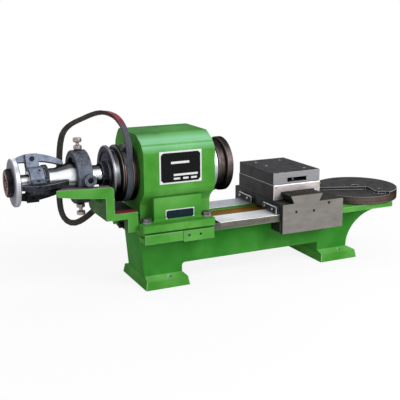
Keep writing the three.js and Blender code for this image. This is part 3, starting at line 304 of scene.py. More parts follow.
def plain_metal(name, colour, worn, roughness, metal=1.0):
    """A small fastener or plate: one plated, oxidised or lacquered metal, a little uneven in
    colour and gloss."""
    gloss = 0.5 if metal else 0.08
    material, tree, shader, place = surface(name, Metallic=metal, Specular_IOR_Level=gloss)
    spots = add(tree, "TexNoise", pattern(place, 3, 5, 0.6))
    rubbed = add(tree, "MapRange", span(spots, 0.4, 0.7))
    feed(tree, shader, {
        "Base Color": layered(tree, colour, (rubbed, worn)),
        "Roughness": add(tree, "MapRange", span(spots, 0.3, 0.7, roughness, roughness + 0.15)),
        "Normal": add(tree, "Bump", {"Height": spots, "Strength": 0.5, "Distance": 0.04 * MM}),
    })
    return material


green = machine_enamel("green_machine_enamel", "#5d9f49", "#41882f", "#3a5f2f")
# A darker copy of the enamel for the headstock's roof, as painted shade
shaded_top_green = machine_enamel("top_green_enamel", "#3f8c33", "#2b7222", "#2f5f28")
# A darker, greyer copy for faces that look left, as painted shade
shaded_left_green = machine_enamel("grimy_green_enamel", "#56784b", "#3c5a33", "#3a3d30")
# A lighter copy of the enamel for the feet's tops, as painted light
lit_foot_green = machine_enamel("foot_green_enamel", "#7bc266", "#5ba648", "#4d7b40")
# A darker copy of the enamel for the bed's web under the ways, as painted shade
shaded_web_green = machine_enamel("bed_green_enamel", "#438c38", "#2f7827", "#2f5528")
ochre = machine_enamel("ochre_anti_rust_paint", "#9c7230", "#73521f", "#4a3c20", chip="#8d8a80")
# The ledge's primer carries the pulley's painted shadow
primer = primer_with_painted_shadow("red_oxide_primer_painted_shadow", "#7a2a33", "#0d0b0b")

way_steel = ground_metal(
    "ground_way_iron", "#ffffff", "#dfe3e8", "#b4b8bd",
    grain=(90, 0.5, 0.5), roughness=0.42, stained=0.3, metal=0.55)
rear_way = ground_metal(
    "ground_rear_way_iron", "#cdd1d6", "#a6aaaf", "#7c7f84",
    grain=(90, 0.5, 0.5), roughness=0.42, stained=0.5)
way_side = ground_metal(
    "milled_way_side", "#77766c", "#57564e", "#43423a",
    grain=(60, 0.8, 0.8), roughness=0.5, stained=0.6)
front_iron = ground_metal(
    "milled_front_iron", "#898580", "#7a7671", "#6b6763",
    grain=(40, 30, 12), roughness=0.46, stained=0.45, rub="#aeacae")
block_iron = ground_metal(
    "ground_block_iron", "#9c9c9e", "#888889", "#77777a",
    grain=(12, 12, 1.2), roughness=0.42, stained=0.35, rub="#d6d9e4")
slide_iron = ground_metal(
    "rubbed_slide_iron", "#d4cccc", "#b9b2b3", "#9c8e8f",
    grain=(30, 10, 6), roughness=0.42, stained=0.6, rub="#e2e5f2")
# Dark iron, also used as painted shade on the carriage's sides and as the base's painted shadow on the
# front way
dark_iron_and_shade = ground_metal(
    "dark_iron_and_painted_shade", "#5e5e5e", "#4c4c4c", "#3f3f3f",
    grain=(20, 1.2, 2.5), roughness=0.5, stained=0.5, rub="#77777c")
# A darker copy for the tops of the slide and block, as painted shade
shaded_top_iron = ground_metal(
    "painted_shade_top_iron", "#3a3a3c", "#2c2c2e", "#202022",
    grain=(4, 30, 30), roughness=0.55, stained=0.5, rub="#c9ccd8", metal=0.2)
saddle_top = ground_metal(
    "scraped_saddle_top", "#6f6c68", "#4d4b48", "#373634",
    grain=(6, 2, 6), roughness=0.46, stained=0.5)
arm_top = ground_metal(
    "milled_arm_top", "#9d9390", "#7d7572", "#5e5856",
    grain=(14, 2, 4), roughness=0.46, stained=0.5)

# The shares below and above give these turned finishes painted reflection, darker where they look down and
# straight up
bright = turned_metal(
    "polished_spindle_steel", "#d6dadd", "#c0c3c6", "#8b8780",
    pitch=0.12, roughness=0.24, stained=0.25, shade_below=0.96, shade_above=0.93)
cone_steel = turned_metal(
    "ground_cone_steel", "#f4f8fc", "#e2e6ea", "#97938d",
    pitch=0.12, roughness=0.3, stained=0.2, shade_below=0.96, shade_above=0.93)
cover_steel = turned_metal(
    "ground_cover_steel", "#c9ccd0", "#a3a6aa", "#7d7c7a",
    pitch=0.3, roughness=0.3, stained=0.3, shade_below=0.5)
bearing = turned_metal(
    "bearing_steel", "#cfcfcf", "#9c9c9c", "#6b6862",
    pitch=0.3, roughness=0.2, stained=0.3)
oiled_iron = turned_metal(
    "oily_turned_iron", "#86858b", "#625f68", "#3b383d",
    pitch=0.5, roughness=0.36, stained=0.5, shade_below=0.6)
groove_iron = turned_metal(
    "belt_polished_groove", "#85878a", "#4b4c4f", "#242223",
    pitch=0.3, roughness=0.3, stained=0.5, shade_below=0.9, shade_above=0.7)
rim_iron = turned_metal(
    "brown_rim_iron", "#40342f", "#261e1b", "#1a1413",
    pitch=0.3, roughness=0.4, stained=0.6, shade_below=0.8, shade_above=0.5, rub="#9a8c84")
flange_iron = turned_metal(
    "brown_filmed_iron", "#675d5d", "#413839", "#272122",
    pitch=0.4, roughness=0.45, stained=0.5, shade_below=0.85, shade_above=0.6, rub="#7c706c")
plate_steel = turned_metal(
    "turned_plate_steel", "#d3d6dc", "#a9abb1", "#828186",
    pitch=0.4, roughness=0.34, stained=0.3, shade_below=0.3)
# A darker copy of the plate steel for its left face, as painted shade
shaded_plate_face = turned_metal(
    "painted_shade_plate_face", "#a6a7ad", "#909196", "#6c6c70",
    pitch=0.8, roughness=0.46, stained=0.5)
disc_face = turned_metal(
    "faced_disc_iron", "#3f3e3e", "#323131", "#272626",
    pitch=0.9, roughness=0.55, stained=0.5, rub="#b4b5be", metal=0.2, turned_about=DISC_LINE)
disc_rim = turned_metal(
    "disc_rim_iron", "#685c57", "#493d36", "#352b26",
    pitch=0.6, roughness=0.48, stained=0.5, shade_below=0.3, rub="#8b8079", turned_about=DISC_LINE)

phosphate = phosphated_steel("phosphated_steel", "#858e9f", "#575e6c", "#b4bbc7")
ring_skin = phosphated_steel("phosphated_ring", "#656a75", "#3a3d46", "#9298a6", oily=0.35)
# A darker copy of the phosphate, as painted shade
shaded_finger = phosphated_steel("shaded_finger_steel", "#3e4149", "#1d1e21", "#8b919c")
wiper_skin = phosphated_steel("wiper_frame_steel", "#43464e", "#26282d", "#d3d7de", oily=0)
dark_phosphate = phosphated_steel("dark_phosphated_steel", "#43464e", "#26282d", "#7d828d")
black = phosphated_steel("black_oxide_steel", "#2c2d31", "#161618", "#66666b", roughness=0.42)

bolt_steel = plain_metal("browned_bolt_steel", "#8b8588", "#504b50", roughness=0.38)
washer_steel = plain_metal("zinc_washer_steel", "#cfcfd6", "#a5a6ae", roughness=0.3)
nickel = plain_metal("worn_nickel_plate", "#aea39e", "#5f5753", roughness=0.3)
brass = plain_metal("brass_screw", "#dcca94", "#8f7a45", roughness=0.3)
plate_black = plain_metal("black_plate_lacquer", "#0b0b0c", "#121214", roughness=0.5, metal=0.0)
plate_navy = plain_metal("navy_plate_lacquer", "#10202a", "#1a2f38", roughness=0.5, metal=0.0)
plate_bright = plain_metal("bright_plate_aluminium", "#e2e2e2", "#c3c5c7", roughness=0.3)
red_film = plain_metal("red_nut_bore", "#7c3a34", "#4d2421", roughness=0.5, metal=0.3)

belt_side = wrapped_rubber("belt_cover_sides", "#443f3b", "#221f1e", thread=0.9)
belt_back = wrapped_rubber("belt_cover_back", "#464b56", "#2c3039", thread=1.2)
belt_red = wrapped_rubber("belt_red_ink", "#a3252f", "#302f36", thread=2.2)


# Making pieces
WELD = 0.005                       # Points of a solid that are this close are one point


def merged_copy(node):
    """A node's mesh in lathe millimetres, with its loose triangles joined."""
    bm = bmesh.new()
    bm.from_mesh(frame["nodes"][node].data)
    bmesh.ops.transform(bm, matrix=FROM_FRAME, verts=bm.verts)
    bmesh.ops.remove_doubles(bm, verts=bm.verts, dist=WELD)
    return bm


def cad_copy(node):
    """A merged copy of a node, with its flat faces made whole again."""
    bm = merged_copy(node)
    bmesh.ops.dissolve_limit(bm, angle_limit=math.radians(0.6), verts=bm.verts, edges=bm.edges)
    return bm


def respun(node, sides=96):
    """A node turned about the spindle, made again with more sides: its own profile is read at a
    place where nothing is cut from it, and spun. A node with no such place is just copied."""
    out = X.orthogonal().normalized()
    side = X.cross(out)
    source = merged_copy(node)
    points_at = {}
    places = {}
    for vert in source.verts:
        arm = vert.co - SPINDLE
        flat = Vector((arm.dot(out), arm.dot(side)))
        places[vert] = (arm.x, flat.length)
        if flat.length > WELD * 2:
            turn = round(math.degrees(math.atan2(flat.y, flat.x)), 1) % 360
            points_at.setdefault(turn, {})[vert] = 0
    profiles = []
    for ends in points_at.values():
        rows = [e for e in source.edges if e.verts[0] in ends and e.verts[1] in ends]
        for edge in rows:
            for vert in edge.verts:
                ends[vert] += 1
        if all(count == 2 for count in ends.values()):
            profiles.append((ends, rows))
    if not profiles:
        source.free()
        return cad_copy(node)
    points, rows = min(profiles, key=lambda profile: len(profile[0]))
    bm = bmesh.new()
    made = {v: bm.verts.new(SPINDLE + X * places[v][0] + out * places[v][1]) for v in points}
    for edge in rows:
        bm.edges.new([made[v] for v in edge.verts])
    source.free()
    bmesh.ops.spin(bm, geom=bm.verts[:] + bm.edges[:], cent=SPINDLE, axis=X, angle=FULL,
                   steps=sides, use_merge=True)
    bmesh.ops.recalc_face_normals(bm, faces=bm.faces)
    return bm


def sharp_edges(bm, angle=28):
    limit = math.radians(angle)
    return [e for e in bm.edges if len(e.link_faces) == 2 and e.calc_face_angle(0) > limit]


def eased(bm, width, segments=2, edges=None, worn=True):
    """Rounds edges over and marks the new faces, so that a finish can wear there and enamel can carry a
    painted highlight there.
    """
    layer = bm.loops.layers.float.get("edge") or bm.loops.layers.float.new("edge")
    chosen = sharp_edges(bm) if edges is None else edges
    made = bmesh.ops.bevel(bm, geom=chosen, offset=width, offset_type="OFFSET", segments=segments,
                           profile=0.5, affect="EDGES", clamp_overlap=True, material=-1)
    if worn:
        for face in made["faces"]:
            for corner in face.loops:
                corner[layer] = 1.0
    return bm


def sliced(bm, axis, places):
    """Cuts the faces, but not the solid, at places along an axis, so that a finish can end there."""
    for place in places:
        whole = bm.verts[:] + bm.edges[:] + bm.faces[:]
        bmesh.ops.bisect_plane(bm, geom=whole, plane_co=axis * place, plane_no=axis, dist=0.01)
    bm.normal_update()


SCREW_SIDES = 28


def cylinder(start, direction, length, radius, sides=SCREW_SIDES):
    bm = bmesh.new()
    bmesh.ops.create_cone(bm, cap_ends=True, segments=sides, radius1=radius, radius2=radius, depth=length)
    turn = Z.rotation_difference(direction).to_matrix().to_4x4()
    middle = Vector(start) + direction * length / 2
    bmesh.ops.transform(bm, matrix=Matrix.Translation(middle) @ turn, verts=bm.verts)
    return bm


def block(x0, x1, y0, y1, z0, z1):
    bm = bmesh.new()
    bmesh.ops.create_cube(bm, size=1)
    bmesh.ops.scale(bm, vec=(x1 - x0, y1 - y0, z1 - z0), verts=bm.verts)
    bmesh.ops.translate(bm, vec=((x0 + x1) / 2, (y0 + y1) / 2, (z0 + z1) / 2), verts=bm.verts)
    return bm


def cut_from(bm, tools):
    """The first bmesh with the others cut out of it."""
    made = []
    for tool in [bm, *tools]:
        mesh = bpy.data.meshes.new("work")
        tool.to_mesh(mesh)
        tool.free()
        made.append(bpy.data.objects.new("work", mesh))
        bpy.context.scene.collection.objects.link(made[-1])
    for other in made[1:]:
        modifier = made[0].modifiers.new("cut", "BOOLEAN")
        modifier.object = other
        modifier.operation = "DIFFERENCE"
        modifier.solver = "EXACT"
    depsgraph = bpy.context.evaluated_depsgraph_get()
    result = bmesh.new()
    result.from_mesh(made[0].evaluated_get(depsgraph).to_mesh())
    for thing in made:
        mesh = thing.data
        bpy.data.objects.remove(thing)
        bpy.data.meshes.remove(mesh)
    bmesh.ops.remove_doubles(result, verts=result.verts, dist=0.001)
    return result


def coloured(bm, index):
    """The bmesh with one finish on all its faces."""
    for face in bm.faces:
        face.material_index = index
    return bm


def merged(*parts):
    """Several bmeshes as one, as separate shells."""
    whole = bmesh.new()
    for part in parts:
        mesh = bpy.data.meshes.new("work")
        part.to_mesh(mesh)
        part.free()
        whole.from_mesh(mesh)
        bpy.data.meshes.remove(mesh)
    return whole


def stepped(height, shares):
    """The share at a height, on straight lines between the pairs, which run downwards."""
    if height >= shares[0][0]:
        return shares[0][1]
    for (upper, first), (lower, last) in zip(shares, shares[1:]):
        if height >= lower:
            return last + (first - last) * (height - lower) / (upper - lower)
    return shares[-1][1]


def weigh_normals(piece):
    """Lets wide flat faces keep their own normal, so that only the eased edges shade round."""
    modifier = piece.modifiers.new("weighted", "WEIGHTED_NORMAL")
    modifier.keep_sharp = True
    depsgraph = bpy.context.evaluated_depsgraph_get()
    shown = piece.evaluated_get(depsgraph)
    mesh = bpy.data.meshes.new_from_object(shown, preserve_all_data_layers=True, depsgraph=depsgraph)
    plain = piece.data
    piece.modifiers.clear()
    piece.data = mesh
    bpy.data.meshes.remove(plain)
    mesh.name = piece.name


def finished(name, bm, node, finishes, rule=None, smooth=32, slot=None):
    """Turns a bmesh in lathe millimetres into a piece of the frame that rides with the node. A
    rule names each face's finish by its middle and its normal. The piece replaces the node,
    unless it has a slot of its own, as a small piece beside the node has."""
    if rule:
        bm.normal_update()
        for face in bm.faces:
            finish = rule(face.calc_center_median_weighted(), face.normal)
            face.material_index = finishes.index(finish)
    bmesh.ops.transform(bm, matrix=TO_FRAME, verts=bm.verts)
    mesh = bpy.data.meshes.new(name)
    bm.to_mesh(mesh)
    bm.free()
    for finish in finishes:
        mesh.materials.append(finish)
    mesh.shade_smooth()
    mesh.set_sharp_from_angle(angle=math.radians(smooth))
    piece = bpy.data.objects.new(name, mesh)
    bpy.context.scene.collection.objects.link(piece)
    weigh_normals(piece)
    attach(piece, BODY_OF[node])
    if slot is None:
        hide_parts(node)


# How far along a direction a face's normal reaches when the face looks that way
SLIGHTLY = 0.3
HALFWAY = 0.5
MOSTLY = 0.6
SQUARELY = 0.8

# Castings keep the CAD form, with their edges eased and their machined faces left bare
# The bed's heights and half widths tell its edges and faces apart
FOOT_TOP = 24
FOOT_RIM = FOOT_TOP - 1
FOOT_FLANK = 46
FOOT_CORNER_LEAST = 8
FOOT_CORNER_RADIUS = 5
FOOT_EDGE_RADIUS = 2.2
BED_EDGE_RADIUS = 1.0
SLAB_BOTTOM = WAY_TOP - 14
WAY_FLANK = 80.5
WAY_EDGE = WAY_TOP - BED_EDGE_RADIUS
CHANNEL_FLOOR = WAY_TOP - 6.5
CHANNEL_FLANK = 31
NEAR = 0.5
# Where the bare ways start, where the painted shadow of the headstock's base on the way ends, and the
# disc's seat
BARE_LEFT = -80
BASE_SHADOW_END = (FROM_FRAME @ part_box("headstock_casting")[1]).x + 7
DISC_SEAT = 224


def bed():
    bm = cad_copy("bed_casting")
    corners = []
    for edge in sharp_edges(bm):
        first, last = (v.co for v in edge.verts)
        upright = abs(first.z - last.z) > FOOT_CORNER_LEAST
        if upright and max(first.z, last.z) < FOOT_TOP and abs(first.y) > FOOT_FLANK:
            corners.append(edge)
    bm = eased(bm, FOOT_CORNER_RADIUS, 4, corners)
    feet = []
    for edge in sharp_edges(bm):
        off_floor = all(NEAR < v.co.z < FOOT_RIM for v in edge.verts)
        if off_floor and abs(edge.verts[0].co.y) > FOOT_FLANK:
            feet.append(edge)
    bm = eased(bm, FOOT_EDGE_RADIUS, 3, feet)
    above_feet = [e for e in sharp_edges(bm) if min(v.co.z for v in e.verts) > FOOT_TOP]
    bm = eased(bm, BED_EDGE_RADIUS, 2, above_feet)
    sliced(bm, X, (BARE_LEFT, BASE_SHADOW_END, DISC_SEAT))

    def rule(middle, normal):
        before_disc = middle.x < DISC_SEAT
        beside_way = abs(middle.y) > WAY_FLANK and middle.z > SLAB_BOTTOM + NEAR
        # Painted shadow of the headstock's base on the way's side, in dark iron
        if beside_way and BARE_LEFT < middle.x < BASE_SHADOW_END:
            return dark_iron_and_shade
        # The feet's tops take the lighter copy, as painted light
        if middle.z < FOOT_TOP and normal.z > SQUARELY:
            return lit_foot_green
        # The web under the ways takes the darker copy, as painted shade
        if FOOT_TOP < middle.z < SLAB_BOTTOM - NEAR and normal.z < HALFWAY:
            return shaded_web_green
        if middle.z > WAY_EDGE and normal.z > SLIGHTLY and before_disc:
            # Painted shadow of the headstock's base on the front way's top
            front_way = dark_iron_and_shade if middle.x < BASE_SHADOW_END else way_steel
            return rear_way if middle.y > 0 else front_way
        in_channel = middle.z > CHANNEL_FLOOR and abs(middle.y) < CHANNEL_FLANK
        if in_channel and normal.z > SQUARELY and before_disc:
            return ochre
        return way_side if beside_way and BARE_LEFT < middle.x and before_disc else green

    finishes = [green, way_steel, ochre, way_side, shaded_web_green, rear_way, dark_iron_and_shade, lit_foot_green]
    finished("bed_body", bm, "bed_casting", finishes, rule)


# The low front edge of the headstock's box: its least length, its depth and its heights
BOX_EDGE_LENGTH = 120
BOX_EDGE_FRONT = -40
BOX_EDGE_LOW, BOX_EDGE_HIGH = 180, 215
BOX_EDGE_RADIUS = 11
HEADSTOCK_EDGE_RADIUS = 1.8
ROOF = 294
ROOF_FLATNESS = 0.95
# A painted highlight along the two rounded corners over the front: height, then share of the pale
# highlight
HIGHLIGHT_SHARES = ((297, 0.05), (288, 0.95), (282.5, 0.85), (279.5, 0.15), (277, 0.75), (265, 0))
HIGHLIGHT_FRONTWARD = 0.12


def headstock():
    bm = cad_copy("headstock_casting")
    low_front = []
    for edge in sharp_edges(bm, angle=15):
        first, last = (v.co for v in edge.verts)
        in_front = max(first.y, last.y) < BOX_EDGE_FRONT
        in_height = BOX_EDGE_LOW < first.z < BOX_EDGE_HIGH
        if abs(first.x - last.x) > BOX_EDGE_LENGTH and in_front and in_height:
            low_front.append(edge)
    bm = eased(bm, BOX_EDGE_RADIUS, 6, low_front, worn=False)
    bm = eased(bm, HEADSTOCK_EDGE_RADIUS, 3, sharp_edges(bm, angle=22))
    sliced(bm, Z, [height for height, _ in HIGHLIGHT_SHARES[1:]])
    # Forward-looking faces carry the painted highlight, by height
    painted_highlight = bm.loops.layers.float.new("painted_highlight")
    lowest, _ = HIGHLIGHT_SHARES[-1]
    for face in bm.faces:
        looks_forward = face.normal.y < -HIGHLIGHT_FRONTWARD and abs(face.normal.x) < SLIGHTLY
        if looks_forward and face.calc_center_median().z > lowest:
            for corner in face.loops:
                corner[painted_highlight] = stepped(corner.vert.co.z, HIGHLIGHT_SHARES)

    def rule(middle, normal):
        # The roof takes the darker copy, as painted shade
        return shaded_top_green if middle.z > ROOF and normal.z > ROOF_FLATNESS else green

    finished("headstock_body", bm, "headstock_casting", [green, shaded_top_green], rule, smooth=40)


PLATE_THICK = 0.9
FIELD_PROUD = 0.15
BLANK_PROUD = 0.25
RIVET_RADIUS = 1.5


def plate(name, left, right, low, high, face, border, corner, field, blanks=()):
    """A blank riveted plate: a bright border, a dark field with cut corners, four rivets, and
    empty bright boxes at their shares of its width and height."""
    front = face - PLATE_THICK
    width, height = right - left, high - low
    back = block(left, right, front, face, low, high)
    inner = block(left + border, right - border, front - FIELD_PROUD, face - PLATE_THICK / 2,
                  low + border, high - border)
    through = [e for e in inner.edges if abs(e.verts[0].co.y - e.verts[1].co.y) > PLATE_THICK / 4]
    bmesh.ops.bevel(inner, geom=through, offset=corner, offset_type="OFFSET", segments=1,
                    profile=0.5, affect="EDGES", clamp_overlap=True, material=-1)
    inset = border * 1.2
    parts = [coloured(eased(back, 0.25, 1), 0), coloured(inner, 1)]
    for x in (left + inset, right - inset):
        for z in (low + inset, high - inset):
            rivet = bmesh.new()
            bmesh.ops.create_uvsphere(rivet, u_segments=20, v_segments=10, radius=RIVET_RADIUS)
            bmesh.ops.scale(rivet, vec=(1, 0.5, 1), verts=rivet.verts)
            bmesh.ops.translate(rivet, vec=(x, front, z), verts=rivet.verts)
            parts.append(coloured(rivet, 0))
    for x0, x1, z0, z1 in blanks:
        blank = block(left + width * x0, left + width * x1, front - BLANK_PROUD, front,
                      low + height * z0, low + height * z1)
        parts.append(coloured(blank, 0))
    finished(name, merged(*parts), "headstock_casting", [plate_bright, field], slot="plate_steel")


# The empty boxes of the headstock's plate: left, right, low and high
BLANK_SHARES = (
    (0.27, 0.7, 0.61, 0.68), (0.33, 0.9, 0.235, 0.3),
    (0.33, 0.48, 0.12, 0.18), (0.55, 0.68, 0.12, 0.18), (0.74, 0.88, 0.12, 0.18),
)


def plates():
    plate("headstock_plate", left=-181, right=-95, low=206, high=267.5, face=-72,
          border=3, corner=4.5, field=plate_black, blanks=BLANK_SHARES)
    plate("pad_label", left=-168.6, right=-109.4, low=136.4, high=155.8, face=-68,
          border=1.6, corner=2.2, field=plate_navy)


# The bracket's bare arm, and the primed ledge under the pulley
ARM_DEPTH = 9
LEDGE_LOW, LEDGE_HIGH = 150, 162
LEDGE_LEFT = -270


def green_small_castings():
    for node in ("front_clamp_left", "front_clamp_right", "rear_clamp"):
        finished(node + "_body", eased(cad_copy(node), 0.9), node, [green])
    bm = eased(cad_copy("lever_bracket"), 1.6, 3)
    arm_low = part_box("lever_bracket")[1].z / MM - ARM_DEPTH

    def rule(middle, normal):
        if normal.z > SQUARELY and middle.z > arm_low:
            return arm_top
        # Faces that look left take the darker copy, as painted shade
        if normal.x < -MOSTLY:
            return shaded_left_green
        on_ledge = LEDGE_LOW < middle.z < LEDGE_HIGH and middle.x > LEDGE_LEFT
        return primer if normal.z > SQUARELY and on_ledge else green

    finishes = [green, arm_top, primer, shaded_left_green]
    finished("lever_bracket_body", bm, "lever_bracket", finishes, rule, smooth=40)


# The carriage: milled fronts, with painted shade on the sides and tops
def carriage():
    for node, front, top, width in (
        ("saddle", front_iron, saddle_top, 0.7), ("keep_plate_front", front_iron, dark_iron_and_shade, 0.6),
        ("keep_plate_rear", front_iron, dark_iron_and_shade, 0.6), ("cross_slide", slide_iron, shaded_top_iron, 1.5),
        ("tool_block", block_iron, shaded_top_iron, 1.3),
    ):
        def rule(middle, normal):
            if abs(normal.y) > MOSTLY:
                return front
            # Tops and sides take darker finishes than the fronts, as painted shade
            return top if normal.z > MOSTLY else dark_iron_and_shade

        finished(node + "_body", eased(cad_copy(node), width), node, [front, top, dark_iron_and_shade], rule)


# Turned pieces
# The pulley's left cheek, where its wide end starts, and the radius beyond which its rims lie
CHEEK = 4
GROOVED = 18
RIM_RADIUS = 53


def from_axis(place):
    """The distance of a place from the spindle's axis."""
    return math.hypot(place.y, place.z - AXIS)


def pulley():
    left = (FROM_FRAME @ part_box("spindle_pulley")[0]).x

    def rule(middle, normal):
        if middle.x < left + CHEEK:
            return oiled_iron
        on_rim = from_axis(middle) > RIM_RADIUS and middle.x > left + GROOVED
        return rim_iron if on_rim else groove_iron

    bm = eased(respun("spindle_pulley"), 1.0)
    finished("spindle_pulley_body", bm, "spindle_pulley", [oiled_iron, groove_iron, rim_iron], rule)


def flange():
    """The nose flange, with three plain holes in its face."""
    face = (FROM_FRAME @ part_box("nose_flange")[1]).x
    count, circle, radius, depth, beyond = 3, 43, 3.4, 9, 3
    holes = []
    for i in range(count):
        hole = cylinder((face - depth, 0, AXIS + circle), X, depth + beyond, radius, 24)
        turn = Matrix.Rotation(i / count * FULL, 3, "X")
        bmesh.ops.rotate(hole, cent=SPINDLE, matrix=turn, verts=hole.verts)
        holes.append(hole)
    bm = eased(cut_from(respun("nose_flange"), holes), 0.5)
    finished("nose_flange_body", bm, "nose_flange", [flange_iron])


def turned_nodes():
    for node, finish, width in (
        ("spindle", bright, 0.4), ("draw_tube", bright, 0.3), ("shift_cone", cone_steel, 0.5),
        ("shift_race", bearing, 0.4), ("front_bearing_cover", cover_steel, 0.5),
        ("rear_bearing_cover", dark_iron_and_shade, 0.4), ("rear_bearing_outer_ring", bearing, 0.3),
        ("rear_bearing_inner_ring", bearing, 0.3), ("front_bearing_outer_ring", bearing, 0.3),
        ("front_bearing_inner_ring", bearing, 0.3),
    ):
        finished(node + "_body", eased(respun(node), width), node, [finish])


CARRIER_FRONT = -38
NUT_BORE_RADIUS = 15


def closer():
    # The end plate's left face takes the darker copy, as painted shade
    finished("closer_end_plate_body", eased(respun("closer_end_plate"), 0.5), "closer_end_plate",
             [plate_steel, shaded_plate_face],
             lambda middle, normal: shaded_plate_face if normal.x < -MOSTLY else plate_steel)
    for node, finish, width in (
        ("collet", bearing, 0.3), ("pulley_lock_nut", dark_phosphate, 0.5),
        ("carrier_lock_nut", dark_phosphate, 0.5), ("shift_ring", ring_skin, 1.0),
    ):
        finished(node + "_body", eased(cad_copy(node), width), node, [finish])

    def carrier_rule(middle, normal):
        # The carrier's forward faces take the darker copy, as painted shade
        return shaded_finger if normal.y < -MOSTLY and middle.y < CARRIER_FRONT else phosphate

    finished("finger_carrier_body", eased(cad_copy("finger_carrier"), 0.8), "finger_carrier",
             [phosphate, shaded_finger], carrier_rule)
    for number in (1, 2, 3):
        node = f"closer_finger_{number}"
        low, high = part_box(node)
        # Fingers below the axis take the darker copy, as painted shade
        finish = phosphate if (low.z + high.z) / 2 > AXIS * MM else shaded_finger
        finished(node + "_body", eased(cad_copy(node), 1.1, 3), node, [finish], smooth=40)
        node = f"finger_pin_{number}"
        finished(node + "_body", eased(cad_copy(node), 0.3), node, [black])
    finished("closer_nut_body", eased(cad_copy("closer_nut"), 0.7), "closer_nut", [black, red_film],
             lambda middle, normal: red_film if from_axis(middle) < NUT_BORE_RADIUS else black)
    for place in ("top", "bottom"):
        for node in (f"grease_cup_{place}", f"grease_cap_{place}"):
            finished(node + "_body", eased(cad_copy(node), 0.4), node, [nickel])


DISC_RIM = 88


def tail_disc():
    centre = FROM_FRAME @ Vector(DISC_CENTRE)

    def rule(middle, normal):
        outside = (middle - centre).to_2d().length > DISC_RIM
        return disc_rim if outside and normal.z < MOSTLY else disc_face

    finished("tail_disc_body", eased(cad_copy("tail_disc"), 1.3), "tail_disc", [disc_face, disc_rim], rule)
    finished("disc_bolt_body", eased(cad_copy("disc_bolt"), 0.5), "disc_bolt", [black])


# Fasteners
BASE_THICK = 13.5
WASHER_THICK = 3.2


def bolts():
    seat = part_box("headstock_casting")[0].z / MM + BASE_THICK
    for side in ("front_left", "front_right", "rear_left", "rear_right"):
        node = "hold_down_bolt_" + side
        finished(node + "_body", eased(cad_copy(node), 0.5), node, [bolt_steel, washer_steel],
                 lambda middle, normal: washer_steel if middle.z < seat + WASHER_THICK else bolt_steel)
    for end in ("front", "rear"):
        node = "bracket_screw_" + end
        finished(node + "_body", eased(cad_copy(node), 0.5), node, [black])


# A slotted head's rounding and half its slot as shares of its radius, the slot's floor of its height
HEAD_SHARES = {"round": 0.25, "slot": 0.16, "floor": 0.55}
SLOT_TURN = 35


def slotted_head(at, direction, radius, height):
    """A cheese head with its slot, standing on the point that it is given."""
    at = Vector(at)
    head = cylinder(at, direction, height, radius)
    rim = [e for e in sharp_edges(head) if all((v.co - at).dot(direction) > height / 2 for v in e.verts)]
    eased(head, radius * HEAD_SHARES["round"], 3, rim)
    half = radius * HEAD_SHARES["slot"]
    slot = block(-radius * 2, radius * 2, -half, half, 0, height)
    turn = Z.rotation_difference(direction).to_matrix().to_4x4()
    place = Matrix.Translation(at + direction * height * HEAD_SHARES["floor"])
    across = Matrix.Rotation(math.radians(SLOT_TURN), 4, "Z")
    bmesh.ops.transform(slot, matrix=place @ turn @ across, verts=slot.verts)
    return cut_from(head, [slot])


WIPER_SCREWS = (-63, -32, 42.3, 75.4)
WIPER_SCREW_HEIGHT = 130


def wipers():
    for node in ("way_wiper_front", "way_wiper_rear"):
        finished(node + "_body", eased(cad_copy(node), 1.6, 3), node, [wiper_skin])
    left = (FROM_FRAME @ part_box("way_wiper_front")[0]).x
    sunk = 0.2
    for number, y in enumerate(WIPER_SCREWS, 1):
        bm = slotted_head((left + sunk, y, WIPER_SCREW_HEIGHT), -X, 2.6, 1.8)
        finished(f"wiper_screw_{number}", bm, "way_wiper_front", [brass], slot="plate_steel")
    for node in ("saddle_gib", "cross_slide_gib"):
        finished(node + "_body", eased(cad_copy(node), 0.3), node, [dark_iron_and_shade])


# Places of the carriage's screws: x and y on the block's top, x and z on the two fronts
BLOCK_SCREWS = ((103.2, 27), (161.9, 71), (164.7, -24.8), (103.2, 71))
SLIDE_SCREWS = ((80.3, 170.9), (183.7, 169.7))
SADDLE_SCREWS = ((105.3, 125.9), (147.1, 124.2), (183, 137))
# The foot of the window's screw, from the block's left, front and top
WINDOW_SCREW = Vector((52, 12, -23))


def block_screws():
    """Socket set screws just below the block's top."""
    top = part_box("tool_block")[1].z / MM
    sunk, length, radius, socket_depth, socket_radius = 0.4, 11.4, 3.1, 2.6, 1.5
    for number, (x, y) in enumerate(BLOCK_SCREWS, 1):
        bm = eased(cylinder((x, y, top - sunk - length), Z, length, radius), 0.4)
        floor = top - sunk - socket_depth
        socket = cylinder((x, y, floor), Z, socket_depth * 1.5, socket_radius, 6)
        finished(f"block_set_screw_{number}", cut_from(bm, [socket]), "tool_block", [washer_steel],
                 slot="plate_steel")


def slide_screws():
    """Slotted screws let into the front of the cross slide."""
    front = (FROM_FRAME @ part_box("cross_slide")[0]).y
    sunk = 0.6
    for number, (x, z) in enumerate(SLIDE_SCREWS, 1):
        bm = slotted_head((x, front + sunk, z), -Y, 3, 1.4)
        finished(f"slide_screw_{number}", bm, "cross_slide", [brass], slot="plate_steel")


def window_screw():
    """The screw that stands in the window in the block's front."""
    low, high = (FROM_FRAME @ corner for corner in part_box("tool_block"))
    foot = Vector((low.x, low.y, high.z)) + WINDOW_SCREW
    finished("window_screw", eased(cylinder(foot, Z, 9, 3), 0.4), "tool_block", [bolt_steel],
             slot="plate_steel")


